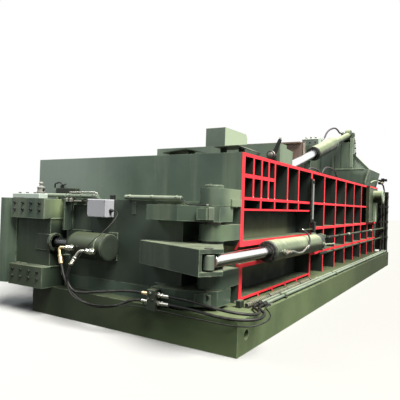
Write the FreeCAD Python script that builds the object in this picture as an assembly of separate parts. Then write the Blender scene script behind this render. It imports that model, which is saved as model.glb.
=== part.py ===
import FreeCAD, Part
import math
import os

# Front-discharge scrap baler: a long ribbed press box on a low base, a side-hinged
# discharge door at the front, a rear-hinged lid, and hydraulic cylinders that work them.
# Everything is drawn in millimetres with X across (+X is the open ribbed side), Y from the
# base's front face to the back and Z up from the floor. place() then moves each piece back
# by half the base's length, so that the origin is the centre of the base's underside.

# ---------------------------------------------------------------- driving dimensions
BASE_WIDTH = 3400.0
BASE_LENGTH = 10270.0
BASE_HEIGHT = 403.0
WING_REACH = 2620.0          # how far the side ram's housing stands out on the left
WALL_TOP = 2350.0

FRONT_PLATE_Y = 766.0
FRONT_PLATE_THICK = 84.0
WALL_SHEET_X = 1020.0        # inner face of the right wall
WALL_SHEET_THICK = 30.0
RIB_DEPTH = 269.0
RIB_THICK = 50.0
LEFT_WALL_X = -1050.0        # inner face of the press box's left wall
LEFT_WALL_THICK = 70.0
FLOOR_LINER = 70.0
DECK_THICK = 40.0
TOP_RAIL = 45.0

FRONT_BAY_END = 3630.0
BULKHEAD_THICK = 80.0
BALE_CHAMBER_END = 2050.0
BALE_CHAMBER_CEILING = 1600.0
LID_HINGE_Y = 5300.0
LID_HINGE_Z = 2250.0

HINGE_X = 1145.0
HINGE_Y = 360.0
KNUCKLE_R = 170.0
HINGE_PIN_R = 100.0
RUNNING_FIT = 0.05
DOOR_FACE_Y = 190.0
DOOR_LEFT = -1180.0
DOOR_RIGHT = 820.0
DOOR_BOTTOM = 585.0
DOOR_TOP = 1690.0
DOOR_SEAT_GAP = 0.5

CYL_X = 1475.0               # door cylinder's axis, and its two pivots
CYL_Z = 1047.0
CYL_EYE_Y = -285.0
CYL_PIVOT_Y = 3800.0
CYL_BARREL_R = 150.0
CYL_ROD_R = 75.0
CYL_GLAND_Y = 1320.0

LOCK_Z = 1050.0              # lock cylinder's axis, in the plane Y = 0
LOCK_BARREL_R = 182.0
LOCK_BARREL_RIGHT = -184.0
LOCK_BARREL_LEFT = -905.0
LOCK_PIN_R = 70.0
LOCK_FRAME_RIGHT = -1270.0
LOCK_FRAME_WIDTH = 730.0
LOCK_TRAVEL = 180.0

LID_FRONT_Y = 2060.0
LID_RIGHT = 1310.0
LID_BOTTOM = 1600.0
LID_EYE_Y = 3520.0           # lid cylinder's front eye and rear pivot
LID_EYE_Z = 2375.0
LID_PIVOT_Y = 8450.0
LID_PIVOT_Z = 3768.0
LID_CYL_X = 830.0
LID_BARREL_R = 155.0
LID_ROD_R = 92.0

MAIN_RAM_REST_Y = 4900.0
MAIN_RAM_THICK = 500.0
MAIN_RAM_TOP = 1580.0
MAIN_ROD_R = 170.0
MAIN_BARREL_R = 260.0
SIDE_RAM_STROKE = 750.0
SIDE_ROD_R = 110.0
SIDE_BARREL_R = 180.0
SLIDE_GAP = 0.5

PIPE_R = 21.0
HOSE_R = 17.0
CABLE_R = 6.0
BOLT_R = 17.0
LIFT_HOLE_R = 60.0
LIFT_HOLE_DEPTH = 250.0

# ---------------------------------------------------------------- derived places
BASE_HALF = BASE_WIDTH / 2
SHEET_OUT_X = WALL_SHEET_X + WALL_SHEET_THICK
RIB_FACE_X = SHEET_OUT_X + RIB_DEPTH
FRONT_PLATE_BACK = FRONT_PLATE_Y + FRONT_PLATE_THICK
LEFT_OUT_X = LEFT_WALL_X - LEFT_WALL_THICK
FLOOR_TOP = BASE_HEIGHT + FLOOR_LINER
RAIL_BOTTOM = WALL_TOP - TOP_RAIL
BAY_BACK = FRONT_BAY_END + BULKHEAD_THICK
BOX_END = BASE_LENGTH - 170.0
DOOR_BACK = FRONT_PLATE_Y - DOOR_SEAT_GAP

UP = FreeCAD.Vector(0, 0, 1)
ALONG_X = FreeCAD.Vector(1, 0, 0)
ALONG_Y = FreeCAD.Vector(0, 1, 0)
TO_ORIGIN = FreeCAD.Vector(0, -BASE_LENGTH / 2, 0)


# ---------------------------------------------------------------- helpers
def vec(x, y, z):
    return FreeCAD.Vector(x, y, z)


def block(x0, x1, y0, y1, z0, z1):
    return Part.makeBox(x1 - x0, y1 - y0, z1 - z0, vec(x0, y0, z0))


def rod(start, direction, radius, length):
    return Part.makeCylinder(radius, length, start, direction)


def pipe_ring(start, direction, outer, inner, length):
    return rod(start, direction, outer, length).cut(rod(start, direction, inner, length))


def plate_up(points, z0, z1):
    """Extrude an outline of (x, y) points from z0 up to z1."""
    corners = [vec(x, y, z0) for x, y in points]
    face = Part.Face(Part.makePolygon(corners + corners[:1]))
    return face.extrude(vec(0, 0, z1 - z0))


def plate_across(points, x0, x1):
    """Extrude an outline of (y, z) points from x0 to x1."""
    corners = [vec(x0, y, z) for y, z in points]
    face = Part.Face(Part.makePolygon(corners + corners[:1]))
    return face.extrude(vec(x1 - x0, 0, 0))


def plate_back(points, y0, y1):
    """Extrude an outline of (x, z) points from y0 back to y1."""
    corners = [vec(x, y0, z) for x, z in points]
    face = Part.Face(Part.makePolygon(corners + corners[:1]))
    return face.extrude(vec(0, y1 - y0, 0))


def weld(shapes):
    joined = shapes[0].multiFuse(shapes[1:])
    return joined.removeSplitter()


def group(shapes):
    return Part.makeCompound(shapes)


def place(name, shape):
    moved = shape.copy()
    moved.translate(TO_ORIGIN)
    moved.exportStep(os.path.join("parts", name + ".step"))
    return shape


def bend_radius(before, corner, after):
    """0.45 of the shorter run over the tangent of half the turn."""
    run_in = corner.sub(before)
    run_out = after.sub(corner)
    turn = run_in.getAngle(run_out)
    return 0.45 * min(run_in.Length, run_out.Length) / math.tan(turn / 2)


def tube_along(points, radius, label=None, bend=None):
    """A tube whose path is straight runs joined by tangent arcs, and its volume check."""
    corners = [vec(*p) for p in points]
    edges = []
    start = corners[0]
    length = 0.0
    radii = []
    for before, corner, after in zip(corners, corners[1:], corners[2:]):
        into = corner.sub(before).normalize()
        out = after.sub(corner).normalize()
        turn = into.getAngle(out)
        arc_r = bend_radius(before, corner, after) if bend is None else bend
        radii.append(arc_r)
        setback = arc_r * math.tan(turn / 2)
        arc_start = corner.sub(into * setback)
        arc_end = corner.add(out * setback)
        inward = out.sub(into).normalize()
        to_centre = arc_r / math.cos(turn / 2)
        middle = corner.add(inward * (to_centre - arc_r))
        edges.append(Part.LineSegment(start, arc_start).toShape())
        edges.append(Part.Arc(arc_start, middle, arc_end).toShape())
        length += start.distanceToPoint(arc_start) + arc_r * turn
        start = arc_end
    edges.append(Part.LineSegment(start, corners[-1]).toShape())
    length += start.distanceToPoint(corners[-1])
    path = Part.Wire(edges)
    first = corners[1].sub(corners[0]).normalize()
    section = Part.Wire(Part.makeCircle(radius, corners[0], first))
    tube = path.makePipeShell([section], True, False)
    if label:
        share = tube.Volume / (math.pi * radius ** 2 * length)
        tightest = min(radii) if radii else 0.0
        print("%s: length %.0f mm, smallest bend %.0f mm = %.1f diameters, volume share %.4f"
              % (label, length, tightest, tightest / (2 * radius), share))
    return tube


# ---------------------------------------------------------------- base
def make_base():
    plinth = block(-BASE_HALF, BASE_HALF, 0, BASE_LENGTH, 0, BASE_HEIGHT)
    wing = block(-WING_REACH, -BASE_HALF, FRONT_PLATE_Y, WING_END, 0, BASE_HEIGHT)
    body = weld([plinth, wing])
    for y in LIFT_HOLES_Y:
        right = rod(vec(BASE_HALF, y, LIFT_HOLE_Z), -ALONG_X, LIFT_HOLE_R, LIFT_HOLE_DEPTH)
        body = body.cut(right)
    for y in LIFT_HOLES_LEFT_Y:
        left = rod(vec(-BASE_HALF, y, LIFT_HOLE_Z), ALONG_X, LIFT_HOLE_R, LIFT_HOLE_DEPTH)
        body = body.cut(left)
    place("base", body)


WING_END = BALE_CHAMBER_END + 70.0
LIFT_HOLE_Z = 208.0
LIFT_HOLES_Y = (225.0, BASE_LENGTH - 225.0)
LIFT_HOLES_LEFT_Y = (225.0, BASE_LENGTH - 225.0)


def make_chamber():
    """Liner, walls and decks round the press box, and the front plate with its mouth."""
    liner = block(LEFT_WALL_X, WALL_SHEET_X, FRONT_PLATE_BACK, BOX_END, BASE_HEIGHT, FLOOR_TOP)
    place("floor_liner", liner)

    front = block(-WING_REACH, RIB_FACE_X, FRONT_PLATE_Y, FRONT_PLATE_BACK, BASE_HEIGHT, WALL_TOP)
    front = front.cut(block(MOUTH_LEFT, MOUTH_RIGHT, FRONT_PLATE_Y, FRONT_PLATE_BACK,
                            FLOOR_TOP + MOUTH_SILL, BALE_CHAMBER_CEILING))
    front = front.cut(block(SHEET_OUT_X, RIB_FACE_X, FRONT_PLATE_Y, FRONT_PLATE_BACK,
                            SLOT_BOTTOM, SLOT_TOP))
    sill = block(DOOR_LEFT, SILL_RIGHT, DOOR_FACE_Y, FRONT_PLATE_Y, BASE_HEIGHT, DOOR_BOTTOM - SILL_CLEAR)
    place("front_plate", group([front, sill]))

    sheet = block(WALL_SHEET_X, SHEET_OUT_X, FRONT_PLATE_BACK, BOX_END, BASE_HEIGHT, WALL_TOP)
    left = block(LEFT_OUT_X, LEFT_WALL_X, FRONT_PLATE_BACK, BOX_END, BASE_HEIGHT, WALL_TOP)
    left = left.cut(block(LEFT_OUT_X, LEFT_WALL_X, SIDE_WINDOW_Y0, SIDE_WINDOW_Y1,
                          FLOOR_TOP, SIDE_WINDOW_TOP))
    place("chamber_walls", group([sheet, left]))

    ceiling = block(LEFT_WALL_X, WALL_SHEET_X, FRONT_PLATE_BACK, BALE_CHAMBER_END,
                    BALE_CHAMBER_CEILING, BALE_CHAMBER_CEILING + DECK_THICK)
    header = block(LEFT_WALL_X, WALL_SHEET_X, BALE_CHAMBER_END - HEADER_THICK, BALE_CHAMBER_END,
                   BALE_CHAMBER_CEILING + DECK_THICK, WALL_TOP - DECK_THICK)
    front_deck = block(LEFT_WALL_X, WALL_SHEET_X, FRONT_PLATE_BACK, BALE_CHAMBER_END,
                       WALL_TOP - DECK_THICK, WALL_TOP)
    rear_deck = block(LEFT_WALL_X, WALL_SHEET_X, LID_HINGE_Y + LID_HINGE_CLEAR, BOX_END,
                      WALL_TOP - DECK_THICK, WALL_TOP)
    place("chamber_roof", group([ceiling, header, front_deck, rear_deck]))
    end = block(LEFT_OUT_X - RIB_DEPTH, RIB_FACE_X, BOX_END, BASE_LENGTH, BASE_HEIGHT, WALL_TOP)
    place("rear_plate", end)


MOUTH_LEFT = -1000.0
MOUTH_RIGHT = 700.0
MOUTH_SILL = 150.0
SILL_RIGHT = 510.0
SILL_CLEAR = 3.0
SLOT_BOTTOM = 910.0
SLOT_TOP = 1130.0
SIDE_WINDOW_Y0 = 900.0
SIDE_WINDOW_Y1 = 2000.0
SIDE_WINDOW_TOP = 1560.0
HEADER_THICK = 50.0
LID_HINGE_CLEAR = 140.0


def make_right_wall_frame():
    """Rails and ribs outside the right wall: each is a flat bar on edge."""
    def rail(y0, y1, z0, z1):
        return block(SHEET_OUT_X, RIB_FACE_X, y0, y1, z0, z1)

    bars = [rail(FRONT_PLATE_BACK, FRONT_BAY_END, z0, z1) for z0, z1 in FRONT_RAILS]
    bars.append(rail(FRONT_PLATE_BACK, GRID_END, GRID_RAIL[0], GRID_RAIL[1]))
    low, mid = FRONT_RAILS[-3], FRONT_RAILS[-2]
    half = THIN_RIB / 2
    for y in GRID_RIBS:
        bars.append(rail(y - half, y + half, mid[1], GRID_RAIL[0]))
        bars.append(rail(y - half, y + half, GRID_RAIL[1], RAIL_BOTTOM))
    for y in LOW_STUBS:
        bars.append(rail(y - half, y + half, low[1], mid[0]))
        bars.append(rail(y - half, y + half, BASE_HEIGHT, FRONT_RAILS[0][0]))
    for y in HIGH_RIBS:
        bars.append(rail(y - half, y + half, mid[1], RAIL_BOTTOM))
    place("front_bay_frame", group(bars))
    place("right_bulkhead", rail(FRONT_BAY_END, BAY_BACK, BASE_HEIGHT, WALL_TOP))

    place("rear_bay_frame", group(ribbed_wall(SHEET_OUT_X, RIB_FACE_X, BAY_BACK, 0)))


def ribbed_wall(x0, x1, start, first):
    """Rails the length of a wall from start, with ribs standing between them."""
    bars = []
    levels = [BASE_HEIGHT]
    for z0, z1 in REAR_RAILS:
        bars.append(block(x0, x1, start, BOX_END, z0, z1))
        levels += [z0, z1]
    for i in range(first, REAR_RIB_COUNT):
        y = REAR_RIB_START + i * REAR_RIB_PITCH
        for z0, z1 in zip(levels[0::2], levels[1::2]):
            bars.append(block(x0, x1, y - RIB_THICK / 2, y + RIB_THICK / 2, z0, z1))
    return bars


FRONT_RAILS = ((440.0, 472.0), (860.0, SLOT_BOTTOM), (SLOT_TOP, 1200.0), (1597.0, 1623.0),
               (1735.0, 1775.0), (RAIL_BOTTOM, WALL_TOP))
REAR_RAILS = ((790.0, 846.0), (1260.0, 1310.0), (1735.0, 1775.0), (RAIL_BOTTOM, WALL_TOP))
GRID_RAIL = (2030.0, 2080.0)
GRID_END = 1902.5
THIN_RIB = 45.0
GRID_RIBS = (1120.0, 1390.0, 1640.0, 1880.0)
HIGH_RIBS = (2420.0, 2950.0)
LOW_STUBS = (1380.0, 1895.0, 2440.0, 2970.0)
REAR_RIB_START = 4510.0
REAR_RIB_PITCH = 880.0
REAR_RIB_COUNT = 7


def make_left_side():
    """The hidden side: plain ribs, and the side ram's housing on its wing."""
    ribs = ribbed_wall(LEFT_OUT_X - RIB_DEPTH, LEFT_OUT_X, WING_END, -1)
    place("left_wall_frame", group(ribs))

    wall_x = -WING_REACH + HOUSING_WALL
    end = block(-WING_REACH, wall_x, FRONT_PLATE_BACK, WING_END, BASE_HEIGHT, WALL_TOP)
    back = block(wall_x, LEFT_OUT_X, BALE_CHAMBER_END, WING_END, BASE_HEIGHT, WALL_TOP)
    deck = block(wall_x, LEFT_OUT_X, FRONT_PLATE_BACK, BALE_CHAMBER_END,
                 WALL_TOP - DECK_THICK, WALL_TOP)
    track = block(wall_x, LEFT_OUT_X, FRONT_PLATE_BACK, BALE_CHAMBER_END,
                  BASE_HEIGHT, FLOOR_TOP)
    place("side_ram_housing", group([end, back, deck, track]))


HOUSING_WALL = 60.0


# ---------------------------------------------------------------- rams
def make_rams():
    centre_x = (LEFT_WALL_X + WALL_SHEET_X) / 2
    centre_z = (FLOOR_TOP + MAIN_RAM_TOP) / 2
    back_y = MAIN_RAM_REST_Y + MAIN_RAM_THICK
    head = block(LEFT_WALL_X + SIDE_CLEAR, WALL_SHEET_X - SIDE_CLEAR, MAIN_RAM_REST_Y, back_y,
                 FLOOR_TOP + SLIDE_GAP, MAIN_RAM_TOP)
    ram_rod = rod(vec(centre_x, back_y, centre_z), ALONG_Y, MAIN_ROD_R, MAIN_ROD_LENGTH)
    place("main_ram", weld([head, ram_rod]))

    start = back_y + MAIN_BARREL_CLEAR
    length = BOX_END - start
    barrel = rod(vec(centre_x, start, centre_z), ALONG_Y, MAIN_BARREL_R, length)
    gland = rod(vec(centre_x, start, centre_z), ALONG_Y, MAIN_BARREL_R + 45, 160)
    bore = rod(vec(centre_x, start, centre_z), ALONG_Y, MAIN_ROD_R + RUNNING_FIT,
               length - CYLINDER_CAP)
    saddle = block(centre_x - SADDLE_HALF, centre_x + SADDLE_HALF, start + 600, start + 720,
                   FLOOR_TOP, centre_z)
    main = weld([barrel, gland, saddle]).cut(bore)

    ram_y0 = SIDE_WINDOW_Y0 + SIDE_CLEAR
    ram_y1 = SIDE_WINDOW_Y1 - SIDE_CLEAR
    mid_y = (ram_y0 + ram_y1) / 2
    mid_z = (FLOOR_TOP + SIDE_WINDOW_TOP) / 2
    face_x = LEFT_OUT_X - SIDE_CLEAR
    back_x = face_x - SIDE_RAM_THICK
    head = block(back_x, face_x, ram_y0, ram_y1, FLOOR_TOP + SLIDE_GAP, SIDE_WINDOW_TOP - SIDE_CLEAR)
    wall_x = -WING_REACH + HOUSING_WALL
    barrel_end = back_x - SIDE_BARREL_CLEAR
    rod_length = SIDE_BARREL_CLEAR + SIDE_RAM_STROKE + ROD_STAY
    side_rod = rod(vec(back_x, mid_y, mid_z), -ALONG_X, SIDE_ROD_R, rod_length)
    place("side_ram", weld([head, side_rod]))

    barrel = rod(vec(wall_x, mid_y, mid_z), ALONG_X, SIDE_BARREL_R, barrel_end - wall_x)
    flange = rod(vec(wall_x, mid_y, mid_z), ALONG_X, SIDE_BARREL_R + 70, 50)
    bore = rod(vec(barrel_end, mid_y, mid_z), -ALONG_X, SIDE_ROD_R + RUNNING_FIT,
               SIDE_RAM_STROKE + ROD_STAY + 20)
    place("ram_cylinders", group([main, weld([barrel, flange]).cut(bore)]))


MAIN_ROD_LENGTH = 3500.0
MAIN_BARREL_CLEAR = 200.0
CYLINDER_CAP = 120.0
SADDLE_HALF = 200.0
SIDE_CLEAR = 5.0
SIDE_RAM_THICK = 260.0
SIDE_BARREL_CLEAR = 60.0
ROD_STAY = 90.0


# ---------------------------------------------------------------- door hinge
def knuckle(z0, z1):
    """A frame knuckle: a plate with a round nose at the hinge pin."""
    nose = rod(vec(HINGE_X, HINGE_Y, z0), UP, KNUCKLE_R, z1 - z0)
    tail = block(HINGE_X - KNUCKLE_R, HINGE_X + KNUCKLE_R, HINGE_Y, FRONT_PLATE_Y, z0, z1)
    return weld([nose, tail])


def pin_bore(z0, z1, fit):
    return rod(vec(HINGE_X, HINGE_Y, z0), UP, HINGE_PIN_R + fit, z1 - z0)


def make_frame_knuckles():
    knuckles = [knuckle(z0, z1).cut(pin_bore(z0, z1, 0)) for z0, z1 in FRAME_KNUCKLES]
    top_z0, top_z1 = FRAME_KNUCKLES[0]
    stop = block(HINGE_X + KNUCKLE_R, HINGE_X + KNUCKLE_R + STOP_THICK,
                 FRONT_PLATE_Y - 290, FRONT_PLATE_Y - 40, top_z0, top_z0 + 90)
    knuckles[0] = weld([knuckles[0], stop])
    place("frame_knuckles", group(knuckles))
    shaft = rod(vec(HINGE_X, HINGE_Y, DOOR_PLATE_LOW[0] - 30), UP, HINGE_PIN_R,
                top_z1 - DOOR_PLATE_LOW[0] + 30)
    cap = rod(vec(HINGE_X, HINGE_Y, top_z1), UP, HINGE_PIN_R + 8, PIN_CAP)
    place("hinge_pin", weld([shaft, cap]))


FRAME_KNUCKLES = ((1645.0, 1860.0), (1225.0, 1420.0), (650.0, 866.0))
DOOR_PLATE_HIGH = (1455.0, 1640.0)
DOOR_PLATE_LOW = (450.0, 642.0)
STOP_THICK = 25.0
PIN_CAP = 45.0


# ---------------------------------------------------------------- door
def hinge_plate(z0, z1, left):
    """A door hinge plate: laid on the door's face, angled back to the corner by the pin."""
    outline = [(left, PLATE_FACE_Y), (DOOR_RIGHT + 50, PLATE_FACE_Y),
               (HINGE_X + 60, PLATE_FACE_Y + 175), (HINGE_X + KNUCKLE_R, PLATE_CORNER_Y),
               (HINGE_X + KNUCKLE_R, HINGE_Y + PLATE_BEHIND), (DOOR_RIGHT, HINGE_Y + PLATE_BEHIND),
               (DOOR_RIGHT, DOOR_FACE_Y), (left, DOOR_FACE_Y)]
    return plate_up(outline, z0, z1).cut(pin_bore(z0, z1, RUNNING_FIT))


PLATE_FACE_Y = -20.0
PLATE_CORNER_Y = 215.0
PLATE_BEHIND = 190.0
PLATE_HIGH_LEFT = 410.0
PLATE_LOW_LEFT = 520.0


def make_door():
    slab = block(DOOR_LEFT, DOOR_RIGHT, DOOR_FACE_Y, DOOR_BACK, DOOR_BOTTOM, DOOR_TOP)
    panel = block(DOOR_LEFT + 60, PANEL_RIGHT, DOOR_FACE_Y, DOOR_FACE_Y + PANEL_DEEP,
                  PANEL_BOTTOM, PANEL_TOP)
    edge_high = block(DOOR_LEFT, DOOR_LEFT + EDGE_THICK, EDGE_FACE_Y, DOOR_FACE_Y,
                      LOCK_Z + LOCK_BARREL_R, DOOR_TOP)
    edge_low = block(DOOR_LEFT, DOOR_LEFT + EDGE_THICK, EDGE_FACE_Y, DOOR_FACE_Y,
                     DOOR_BOTTOM, LOCK_Z - LOCK_BARREL_R)
    place("door", weld([slab.cut(panel), edge_high, edge_low]))

    z0, z1 = DOOR_PLATE_HIGH
    high = hinge_plate(z0, z1, PLATE_HIGH_LEFT)
    z2, z3 = DOOR_PLATE_LOW
    low = hinge_plate(z2, z3, PLATE_LOW_LEFT)
    stops = [stop_block(z0 + 25, z1 - 25), stop_block(z2 + 25, z3 - 25)]
    place("door_hinge_plates", group([weld([high, stops[0]]), weld([low, stops[1]])]))


def stop_block(z0, z1):
    """A small block on a hinge plate's angled face."""
    x0 = HINGE_X - 40
    outline = [(x0, PLATE_FACE_Y + 60), (x0 + 110, PLATE_FACE_Y + 95),
               (x0 + 110, PLATE_CORNER_Y + 20), (x0, PLATE_CORNER_Y + 20)]
    body = plate_up(outline, z0, z1)
    return body.cut(pin_bore(z0, z1, STOP_CLEAR))


STOP_CLEAR = 30.0
PANEL_RIGHT = -760.0
PANEL_DEEP = 25.0
PANEL_BOTTOM = 1235.0
PANEL_TOP = 1600.0
EDGE_THICK = 30.0
EDGE_FACE_Y = 60.0


def make_lever():
    """The arm that the door cylinder pulls: two plates, a front web and a hinge barrel."""
    low, high = LEVER_Z
    outline = [(LEVER_ROOT_X, LEVER_ROOT_Y), LEVER_TIP, LEVER_HEEL,
               (HINGE_X + LEVER_BARREL_R, HINGE_Y), (HINGE_X, HINGE_Y + LEVER_BARREL_R),
               (DOOR_RIGHT, HINGE_Y + LEVER_BARREL_R), (DOOR_RIGHT, DOOR_FACE_Y),
               (LEVER_ROOT_X, DOOR_FACE_Y)]
    top_ear = plate_up(outline, high - EAR_THICK, high)
    bottom_ear = plate_up(outline, low, low + EAR_THICK)

    tip_x, tip_y = LEVER_TIP
    run = math.hypot(tip_x - LEVER_ROOT_X, tip_y - LEVER_ROOT_Y)
    nx = -(tip_y - LEVER_ROOT_Y) / run * WEB_THICK
    ny = (tip_x - LEVER_ROOT_X) / run * WEB_THICK
    web = plate_up([(LEVER_ROOT_X, LEVER_ROOT_Y), LEVER_TIP, (tip_x + nx, tip_y + ny),
                    (LEVER_ROOT_X + nx, LEVER_ROOT_Y + ny)], low, high)
    root = plate_up([(LEVER_ROOT_X, LEVER_ROOT_Y), (LEVER_FILL_X, fill_y(LEVER_FILL_X)),
                     (LEVER_FILL_X, DOOR_FACE_Y), (LEVER_ROOT_X, DOOR_FACE_Y)], low, high)
    barrel_z0 = FRAME_KNUCKLES[2][1] + KNUCKLE_GAP
    barrel_z1 = FRAME_KNUCKLES[1][0] - KNUCKLE_GAP
    barrel = rod(vec(HINGE_X, HINGE_Y, barrel_z0), UP, LEVER_BARREL_R, barrel_z1 - barrel_z0)
    cheek = block(DOOR_RIGHT, HINGE_X, HINGE_Y - CHEEK_HALF, HINGE_Y + CHEEK_HALF, low, high)
    body = weld([top_ear, bottom_ear, web, root, barrel, cheek])
    place("door_lever", body.cut(pin_bore(barrel_z0, barrel_z1, RUNNING_FIT)))


def fill_y(x):
    """Y of the lever's front face at x."""
    tip_x, tip_y = LEVER_TIP
    share = (x - LEVER_ROOT_X) / (tip_x - LEVER_ROOT_X)
    return LEVER_ROOT_Y + share * (tip_y - LEVER_ROOT_Y)


LEVER_Z = (905.0, 1190.0)
EAR_THICK = 45.0
WEB_THICK = 40.0
LEVER_ROOT_X = 320.0
LEVER_ROOT_Y = -14.0
LEVER_TIP = (1443.0, -430.0)
LEVER_HEEL = (1595.0, -180.0)
LEVER_FILL_X = 1000.0
LEVER_BARREL_R = 140.0
CHEEK_HALF = 60.0
KNUCKLE_GAP = 6.0


# ---------------------------------------------------------------- door cylinder
def make_door_cylinder():
    eye = rod(vec(CYL_X, CYL_EYE_Y, CYL_Z - EYE_HALF), UP, EYE_R, 2 * EYE_HALF)
    shaft = rod(vec(CYL_X, CYL_EYE_Y, CYL_Z), ALONG_Y, CYL_ROD_R, CYL_PIVOT_Y - TAIL_Y - CYL_EYE_Y)
    place("door_cylinder_rod", weld([eye, shaft]))

    back = CYL_PIVOT_Y - BARREL_TO_PIVOT
    barrel = rod(vec(CYL_X, CYL_GLAND_Y, CYL_Z), ALONG_Y, CYL_BARREL_R, back - CYL_GLAND_Y)
    dome = rod(vec(CYL_X, back, CYL_Z), ALONG_Y, CYL_BARREL_R - 45, 50)
    tang = block(CYL_X - 45, CYL_X + 45, back + 50, CYL_PIVOT_Y, CYL_Z - TANG_HALF, CYL_Z + TANG_HALF)
    eye = rod(vec(CYL_X, CYL_PIVOT_Y, CYL_Z - TANG_HALF), UP, TANG_R, 2 * TANG_HALF)
    bore = rod(vec(CYL_X, CYL_GLAND_Y, CYL_Z), ALONG_Y, CYL_ROD_R + RUNNING_FIT,
               back - CYL_GLAND_Y - 60)
    body = weld([barrel, dome, tang, eye]).cut(bore)
    body = body.cut(rod(vec(CYL_X, CYL_PIVOT_Y, CYL_Z - TANG_HALF), UP,
                        CYL_PIN_R + RUNNING_FIT, 2 * TANG_HALF))
    place("door_cylinder_barrel", body)
    gland = pipe_ring(vec(CYL_X, CYL_GLAND_Y - GLAND_LONG, CYL_Z), ALONG_Y, CYL_BARREL_R - 4,
                      CYL_ROD_R + RUNNING_FIT, GLAND_LONG)
    place("door_cylinder_gland", gland)

    side = CYL_X + CYL_BARREL_R
    core = rod(vec(CYL_X, CYL_GLAND_Y, CYL_Z), ALONG_Y, CYL_BARREL_R, back - CYL_GLAND_Y)
    ports = []
    for y in (CYL_GLAND_Y + 240, back - 130):
        ports.append(rod(vec(CYL_X, y, PORT_PIPE_Z), ALONG_X, 36, CYL_BARREL_R + 34).cut(core))
    front_y, rear_y = CYL_GLAND_Y + 276, back - 94
    pipe_x = side + 18
    front = tube_along([(pipe_x, front_y, PORT_PIPE_Z), (pipe_x + 8, CYL_HOSE_START[1] - 260, PORT_PIPE_Z - 8),
                        PORT_PIPE_BEND, CYL_HOSE_START],
                       16, bend=90)
    rear = tube_along([(pipe_x, rear_y, PORT_PIPE_Z), (pipe_x, rear_y + 560, PORT_PIPE_Z - 25)], 16)
    place("door_cylinder_ports", group(ports + [front, rear]))

    plates = []
    for z in (CYL_Z - TANG_HALF - 50, CYL_Z + TANG_HALF + 4):
        plate = plate_up([(RIB_FACE_X, CYL_PIVOT_Y - 90), (CYL_X, CYL_PIVOT_Y - 95),
                          (CYL_X + 95, CYL_PIVOT_Y), (CYL_X, CYL_PIVOT_Y + 95),
                          (RIB_FACE_X, CYL_PIVOT_Y + 160)], z, z + 46)
        plates.append(plate)
    spine = block(RIB_FACE_X, CYL_X - TANG_R - 12, CYL_PIVOT_Y + 90, CYL_PIVOT_Y + 130,
                  CYL_Z - TANG_HALF - 4, CYL_Z + TANG_HALF + 4)
    pad = block(RIB_FACE_X - 40, RIB_FACE_X, BAY_BACK, CYL_PIVOT_Y + 200,
                CYL_Z - TANG_HALF - 70, CYL_Z + TANG_HALF + 70)
    pin = rod(vec(CYL_X, CYL_PIVOT_Y, CYL_Z - TANG_HALF - 80), UP, CYL_PIN_R, 2 * TANG_HALF + 150)
    place("door_cylinder_bracket", weld(plates + [spine, pad, pin]))


EYE_R = 80.0
EYE_HALF = 80.0
TAIL_Y = 1240.0
BARREL_TO_PIVOT = 200.0
TANG_HALF = 80.0
TANG_R = 80.0
CYL_PIN_R = 40.0
GLAND_LONG = 40.0
PORT_PIPE_Z = 1027.0
CYL_HOSE_START = (1662.0, 2450.0, 1050.0)
PORT_PIPE_BEND = (1662.0, 2360.0, 1027.0)


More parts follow.
